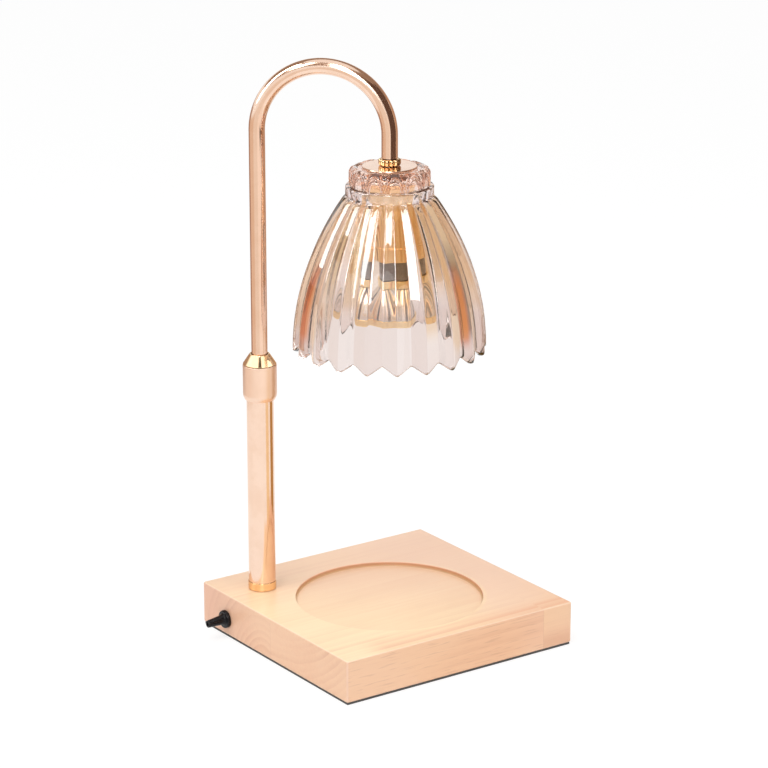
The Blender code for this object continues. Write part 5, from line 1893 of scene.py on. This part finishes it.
        back = np.linspace(1, 0, self.inner_rows)[:, None]
        inner_drop = self.scalloped(back, groove)
        inner_radius = self.crest(inner_drop) - self.inner_inset * (0.6 + 0.4 * back) - self.wall
        bore = self.neck - self.top_wall
        corners = [
            (float(inner_radius[-1, 0]), self.skirt_drop, 0.0),
            (bore, self.flare_drop - self.flare_height, 0.0038),
            (bore, self.top_wall, 0.0072),
            (self.hole, self.top_wall, 0.0),
        ]
        top = filleted(corners, closed=False, steps=10)
        radii = [radius, skirt_radius, lip_radius, inner_radius, top[:, :1]]
        drops = [upper_drop, skirt_drop, lip_level, inner_drop, top[:, 1:]]
        marks = [upper_marks, groove + 0 * share, groove + 0 * swing, 0 * back, 0 * top[:, :1]]
        outer_rows = len(upper) + self.skirt_rows + len(swing) // 2
        levels = np.concatenate([rows.mean(axis=1) for rows in drops]) / self.height
        levels[outer_rows:] = 2 - levels[outer_rows:]
        even = np.zeros((1, columns))
        radii, drops, marks = (
            np.concatenate([rows + even for rows in table]) for table in (radii, drops, marks)
        )
        points = revolved(
            radii,
            Span.of("glass_shade").high - drops,
            Span.of("lampholder_cup").axis,
            turn + self.first_crest,
        )
        return Grid(points, rows_close=True, u_span=float(self.pleats), v_rows=levels, relief=marks)

    def build(self) -> None:
        """Builds and dresses the glass."""
        glass = self.grid().mesh("pleated_glass")
        self.fit("pleated_glass", glass, Slot.LUSTRE_GLASS, Body.ARM, "glass_shade")


@dataclass
class Lampholder(SubAssembly):
    """Polished cup round the lampholder."""

    radius: float = 0.0150
    wall: float = 0.0012
    shoulder: float = 0.0018
    lip_height: float = 0.0092
    lip_step: float = 0.0008
    hole: float = 0.0040

    def build(self) -> None:
        """Builds and dresses the cup."""
        span = Span.of("lampholder_cup")
        lip_top = span.low + self.lip_height
        bore, lip = self.radius - self.wall, self.radius + self.lip_step
        profile = filleted(
            [
                (self.radius, span.high, self.shoulder),
                (self.radius, lip_top, self.lip_step / 2),
                (lip, lip_top - self.lip_step, self.lip_step / 2),
                (lip, span.low, self.lip_step / 2),
                (bore, span.low, self.lip_step / 4),
                (bore, span.high - self.wall, self.shoulder / 2),
                (self.hole, span.high - self.wall, 0.0),
                (self.hole, span.high, 0.0),
            ]
        )
        self.turn("holder_cup", profile, Slot.BRIGHT_GOLD, Body.ARM, "lampholder_cup")


@dataclass
class Bulb(SubAssembly):
    """Spot bulb: body, gilt ring, ribbed reflector, rim, front glass and burner."""

    neck: float = 0.0120
    body: float = 0.0135
    shown: float = 0.0112
    edge: float = 0.0006
    ring_bore: float = 0.0118
    bowl_top: float = 0.0140
    bowl_mouth: float = 0.0239
    bowl_neck: float = 0.0115
    bowl_wall: float = 0.0013
    bowl_throat: float = 0.0052
    bowl_full: float = 0.70
    bowl_drop: float = 0.0003
    bowl_rows: int = 24
    ribs: int = 40
    rib_columns: int = 8
    rib_depth: float = 0.00035
    rim_edge: float = 0.0007
    rim_ledge: float = 0.0011
    rim_ledge_width: float = 0.0017
    rim_wall: float = 0.0013
    lens_round: float = 0.0004
    capsule_rows: int = 16

    def shell(self) -> np.ndarray:
        """Profile of the body: a narrow neck, then the wider part that shows."""
        body = Span.of("bulb_body")
        shown = body.low + self.shown
        corners = [
            (0.0, body.high, 0.0),
            (self.neck, body.high, self.edge),
            (self.neck, shown, self.edge / 2),
            (self.body, shown, self.edge),
            (self.body, body.low, self.edge / 2),
            (0.0, body.low, 0.0),
        ]
        return filleted(corners, closed=False)

    def bowl(self) -> Grid:
        """Reflector: radius = top + (mouth - top) * (s + full * s * (1 - s)), with shallow ribs.

        Returns:
            The closed grid, with U in ribs.
        """
        span = Span.of("bulb_reflector")
        shoulder = Span.of("bulb_collar").low - self.bowl_drop
        share = np.linspace(0, 1, self.bowl_rows)
        full = share + self.bowl_full * share * (1 - share)
        radius = self.bowl_top + (self.bowl_mouth - self.bowl_top) * full
        height = shoulder + (span.low - shoulder) * share
        inner_radius = [(radius - self.bowl_wall)[:0:-1], [self.bowl_throat] * 2]
        inner_height = [height[:0:-1], [shoulder + self.bowl_wall, span.high]]
        radii = np.concatenate([[self.bowl_neck] * 2, radius, *inner_radius])[:, None]
        heights = np.concatenate([[span.high, shoulder], height, *inner_height])[:, None]
        turn = round_steps(self.ribs * self.rib_columns)
        groove = 1 - np.abs(np.cos(turn * self.ribs / 2))
        on_bowl = (radii > self.bowl_top - self.bowl_wall) & (radii < self.bowl_mouth - self.edge)
        points = revolved(radii - self.rib_depth * groove * on_bowl, heights, span.axis, turn)
        return Grid(points, rows_close=True, u_span=float(self.ribs))

    def rim(self) -> np.ndarray:
        """Profile of the rim, with the ledge that carries the front glass."""
        span = Span.of("bulb_rim")
        seat = span.radius - self.rim_wall
        ledge = span.low + self.rim_ledge
        corners = [
            (span.radius, span.high, self.rim_edge / 2),
            (span.radius, span.low, self.rim_edge),
            (seat - self.rim_ledge_width, span.low, self.rim_edge / 3),
            (seat - self.rim_ledge_width, ledge, 0.0),
            (seat, ledge, 0.0),
            (seat, span.high, 0.0),
        ]
        return filleted(corners)

    def lens(self) -> np.ndarray:
        """Profile of the front glass: a disc with rounded edges."""
        span = Span.of("bulb_lens")
        corners = [
            (0.0, span.high, 0.0),
            (span.radius, span.high, self.lens_round),
            (span.radius, span.low, self.lens_round),
            (0.0, span.low, 0.0),
        ]
        return filleted(corners, closed=False)

    def burner(self) -> Grid:
        """Upright capsule with a half-round tip: radius * (cos a, -sin a) under a straight part."""
        span = Span.of("bulb_capsule")
        turn = np.linspace(0, QUARTER_TURN, self.capsule_rows)
        radius = np.concatenate([[0.0, span.radius], span.radius * np.cos(turn)])
        tip = span.low + span.radius
        height = np.concatenate([[span.high, span.high], tip - span.radius * np.sin(turn)])
        return Grid(revolved(radius, height, span.axis, round_steps(self.columns // 2)))

    def build(self) -> None:
        """Builds and dresses the bulb's pieces."""
        body, gilt = Body.BULB, Slot.BRIGHT_GOLD
        self.turn("bulb_shell", self.shell(), Slot.GREY_CERAMIC, body, "bulb_body", closed=False)
        collar = ring(Span.of("bulb_collar"), self.ring_bore, self.edge)
        self.turn("gilt_ring", collar, gilt, body, "bulb_collar", PALE_GILT)
        reflector = self.bowl().mesh("ribbed_reflector")
        self.fit("ribbed_reflector", reflector, Slot.SILVER_MIRROR, body, "bulb_reflector")
        self.turn("front_rim", self.rim(), gilt, body, "bulb_rim", PALE_GILT)
        self.turn("front_glass", self.lens(), Slot.CLEAR_GLASS, body, "bulb_lens", closed=False)
        self.fit("burner", self.burner().mesh("burner"), Slot.CLEAR_GLASS, body, "bulb_capsule")


@dataclass(frozen=True)
class Card:
    """A soft coloured card that only reflections see: a band between two arcs.

    Attributes:
        heading: its direction, counted from the camera's, in degrees.
        width: the angle that it covers, in degrees.
        lower: distance and height of its lower arc, in metres.
        upper: distance and height of its upper arc, in metres.
        colour: what it shows.
        centre: what it is bent round, in X and Y.
    """

    name: str
    heading: float
    width: float
    lower: Pair
    upper: Pair
    colour: Colour
    centre: Pair = (-0.02, 0.01)


@dataclass(frozen=True)
class SoftLight:
    """A rectangular white lamp.

    Attributes:
        heading: its direction from the object, counted from the camera's, in degrees.
        elevation: its height, in degrees.
        distance: in metres.
        size: width and height, in metres.
        power: in watts.
    """

    name: str
    heading: float
    elevation: float
    distance: float
    size: Pair
    power: float


CARDS = (
    Card("ring_behind_left", -138.0, 56.0, (0.55, 0.0), (0.55, 0.36), (0.46, 0.31, 0.24)),
    Card("ring_left", -82.0, 56.0, (0.56, 0.0), (0.56, 0.30), (0.80, 0.63, 0.51)),
    Card("ring_front_left", -27.0, 54.0, (0.55, 0.0), (0.55, 0.30), (0.90, 0.81, 0.73)),
    Card("ring_front_right", 26.0, 52.0, (0.56, 0.0), (0.56, 0.30), (1.02, 0.93, 0.86)),
    Card("ring_dip", 61.0, 18.0, (0.55, 0.0), (0.55, 0.34), (0.78, 0.64, 0.53)),
    Card("ring_right", 87.0, 34.0, (0.56, 0.0), (0.56, 0.48), (0.84, 0.66, 0.52)),
    Card("ring_behind_right", 134.0, 62.0, (0.55, 0.0), (0.55, 0.54), (0.52, 0.33, 0.22)),
    Card("dark_room", 0.0, 360.0, (1.00, 0.70), (1.00, 2.20), (0.34, 0.24, 0.18)),
    Card("softbox_left", -80.0, 18.0, (0.90, 0.46), (0.90, 1.70), (8.0, 8.0, 8.0)),
    Card("softbox_high", -45.0, 16.0, (0.90, 0.86), (0.90, 1.70), (8.0, 8.0, 8.0)),
    Card("softbox_front", -3.0, 22.0, (0.90, 0.46), (0.90, 1.70), (9.0, 9.0, 9.0)),
    Card("softbox_right", 62.0, 7.0, (0.90, 0.50), (0.90, 1.10), (5.0, 5.0, 5.0)),
    Card("floor_tan", 61.0, 26.0, (0.10, 0.001), (0.54, 0.001), (0.96, 0.77, 0.49), POST),
    Card("floor_ochre", 108.0, 36.0, (0.10, 0.001), (0.54, 0.001), (0.50, 0.28, 0.09), POST),
    Card("cone_white", 0.0, 196.0, (0.110, 0.2085), (0.028, 0.2085), (1.7, 1.7, 1.7), POST),
    Card("cone_streak", 4.0, 24.0, (0.110, 0.2080), (0.028, 0.2080), (0.10, 0.07, 0.05), POST),
    Card("drop_flag", 55.0, 84.0, (0.130, 0.272), (0.130, 0.480), (0.115, 0.065, 0.045), HEAD),
)

LIGHTS = (
    SoftLight("key_above", -35.0, 62.0, 1.5, (0.9, 0.9), 9.5),
    SoftLight("fill_right", 52.0, 34.0, 1.3, (0.6, 0.8), 2.2),
)


@dataclass(frozen=True)
class Studio:
    """Camera, floor, soft lamps, world light and reflection cards."""

    camera_place: Point = (-1.0670, -1.5212, 0.7532)
    camera_azimuth: float = -35.0099
    camera_elevation: float = 17.5560
    camera_reach: Pair = (0.05, 100.0)
    lens: float = 148.19
    sensor: float = 36.0
    target: Point = (-0.02, 0.01, 0.18)
    floor_size: float = 30.0
    floor_drop: float = 0.0002
    floor_tone: Colour = (0.80, 0.79, 0.78)
    floor_glow: float = 0.80
    floor_paint: float = 0.24
    world_light: float = 0.72
    card_bend: float = 5.0

    def direction(self, heading: float, elevation: float) -> Vector:
        """A unit vector at an angle from the camera's side and above the floor, in degrees."""
        around = math.radians(self.camera_azimuth - 90.0 + heading)
        up = math.radians(elevation)
        level = math.cos(up)
        return Vector((math.cos(around) * level, math.sin(around) * level, math.sin(up)))

    def aimed(
        self, name: str, data: bpy.types.ID, place: Vector, sight: Vector
    ) -> bpy.types.Object:
        """A camera or a lamp that looks along a line.

        Args:
            name: the object's name.
            data: the camera or lamp.
            place: where it stands.
            sight: where it looks.

        Returns:
            The object.
        """
        made = linked(name, data)
        made.location = place
        made.rotation_mode = "QUATERNION"
        made.rotation_quaternion = sight.to_track_quat("-Z", "Y")
        return made

    def staged(
        self, name: str, points: np.ndarray, faces: list[list[int]], bench: Bench, shader: Socket
    ) -> bpy.types.Object:
        """A flat piece of the studio, which isn't part of the object.

        Args:
            name: the piece's name, which its material has too.
            points: its corners.
            faces: their numbers, face by face.
            bench: the bench of its material.
            shader: the last shader on it.

        Returns:
            The piece.
        """
        closed_material(bench, shader)
        mesh = bpy.data.meshes.new(name)
        mesh.from_pydata(points.tolist(), [], faces)
        mesh.materials.append(bpy.data.materials[name])
        piece = linked(name, mesh)
        return piece

    def camera(self) -> None:
        """Sets the photograph's camera."""
        data = bpy.data.cameras.new("camera")
        data.lens, data.sensor_width = self.lens, self.sensor
        data.clip_start, data.clip_end = self.camera_reach
        sight = -self.direction(0.0, self.camera_elevation)
        camera = self.aimed("camera", data, Vector(self.camera_place), sight)
        bpy.context.scene.camera = camera

    def seen(self, bench: Bench) -> Socket:
        """1 for camera, glossy and transmission rays, or else 0."""
        path = bench.node("LightPath").outputs
        rays = ("Is Camera Ray", "Is Glossy Ray", "Is Transmission Ray")
        return bench.chain(Operation.MOST, [path[ray] for ray in rays])

    def world(self) -> None:
        """White where it is seen, and a plain even light elsewhere."""
        world = bpy.data.worlds.new("studio")
        world.use_nodes = True
        bpy.context.scene.world = world
        bench = Bench(world.node_tree)
        strength = bench.plus(self.world_light, self.seen(bench), 1.0 - self.world_light)
        light = bench.node("Background", {"Color": WHITE, "Strength": strength})
        bench.node("OutputWorld", {"Surface": light.outputs[0]})

    def floor(self) -> None:
        """Pale floor that is white where it is seen and keeps a faint shadow."""
        half = self.floor_size / 2
        corners = np.array([(-half, -half), (half, -half), (half, half), (-half, half)])
        points = np.concatenate([corners, np.full((4, 1), -self.floor_drop)], axis=1)
        bench, _ = opened_material("floor")
        plain = bench.node("BsdfDiffuse", {"Color": self.floor_tone}).outputs[0]
        paint = bench.node("BsdfDiffuse", {"Color": (self.floor_paint,) * 3}).outputs[0]
        glow = bench.glow(WHITE, self.floor_glow)
        white = bench.node("AddShader", {0: paint, 1: glow}).outputs[0]
        shader = bench.mixed(self.seen(bench), plain, white)
        self.staged("floor", points, [[0, 1, 2, 3]], bench, shader)

    def card(self, card: Card) -> None:
        """Sets up one card: a strip bent round the object, lit on its inner side only.

        Args:
            card: its place, size and colour.
        """
        bends = np.linspace(-0.5, 0.5, max(3, int(card.width / self.card_bend)))
        turn = np.radians(self.camera_azimuth - 90.0 + card.heading + bends * card.width)
        distance, height = np.array([card.lower, card.upper]).T[:, :, None]
        points = revolved(distance, height, card.centre, turn).reshape(-1, 3)
        first = np.arange(len(turn) - 1)
        faces = np.stack([first, first + 1, first + 1 + len(turn), first + len(turn)], -1)
        bench, _ = opened_material(card.name)
        inner = bench.node("NewGeometry").outputs["Backfacing"]
        clear = bench.node("BsdfTransparent").outputs[0]
        shader = bench.mixed(inner, clear, bench.glow(card.colour))
        strip = self.staged(card.name, points, faces.tolist(), bench, shader)
        strip.visible_camera = False
        strip.visible_diffuse = False
        strip.visible_transmission = False
        strip.visible_shadow = False

    def lamp(self, light: SoftLight) -> None:
        """Hangs one lamp that looks at the object.

        Args:
            light: its place, size and power.
        """
        data = bpy.data.lights.new(light.name, "AREA")
        data.shape, data.size, data.size_y = "RECTANGLE", *light.size
        data.energy, data.color = light.power, WHITE
        toward = self.direction(light.heading, light.elevation)
        place = Vector(self.target) + toward * light.distance
        self.aimed(light.name, data, place, -toward).visible_glossy = False

    def build(self) -> None:
        """Sets up everything round the object."""
        bpy.context.scene.view_settings.view_transform = "Standard"
        self.world()
        self.floor()
        for card in CARDS:
            self.card(card)
        for light in LIGHTS:
            self.lamp(light)


def main() -> None:
    """Builds the camera, each sub-assembly and the studio, in order."""
    logging.basicConfig(level=logging.INFO, format="%(name)s: %(message)s")
    studio = Studio()
    studio.camera()
    palette = Palette()
    palette.dress_nodes()
    for assembly in (Base, Post, TwistLock, Arm, SlackLead, Head, Shade, Lampholder, Bulb):
        assembly(palette).build()
        LOG.info("%s is built", assembly.__name__)
    studio.build()


if __name__ == "__main__":
    main()
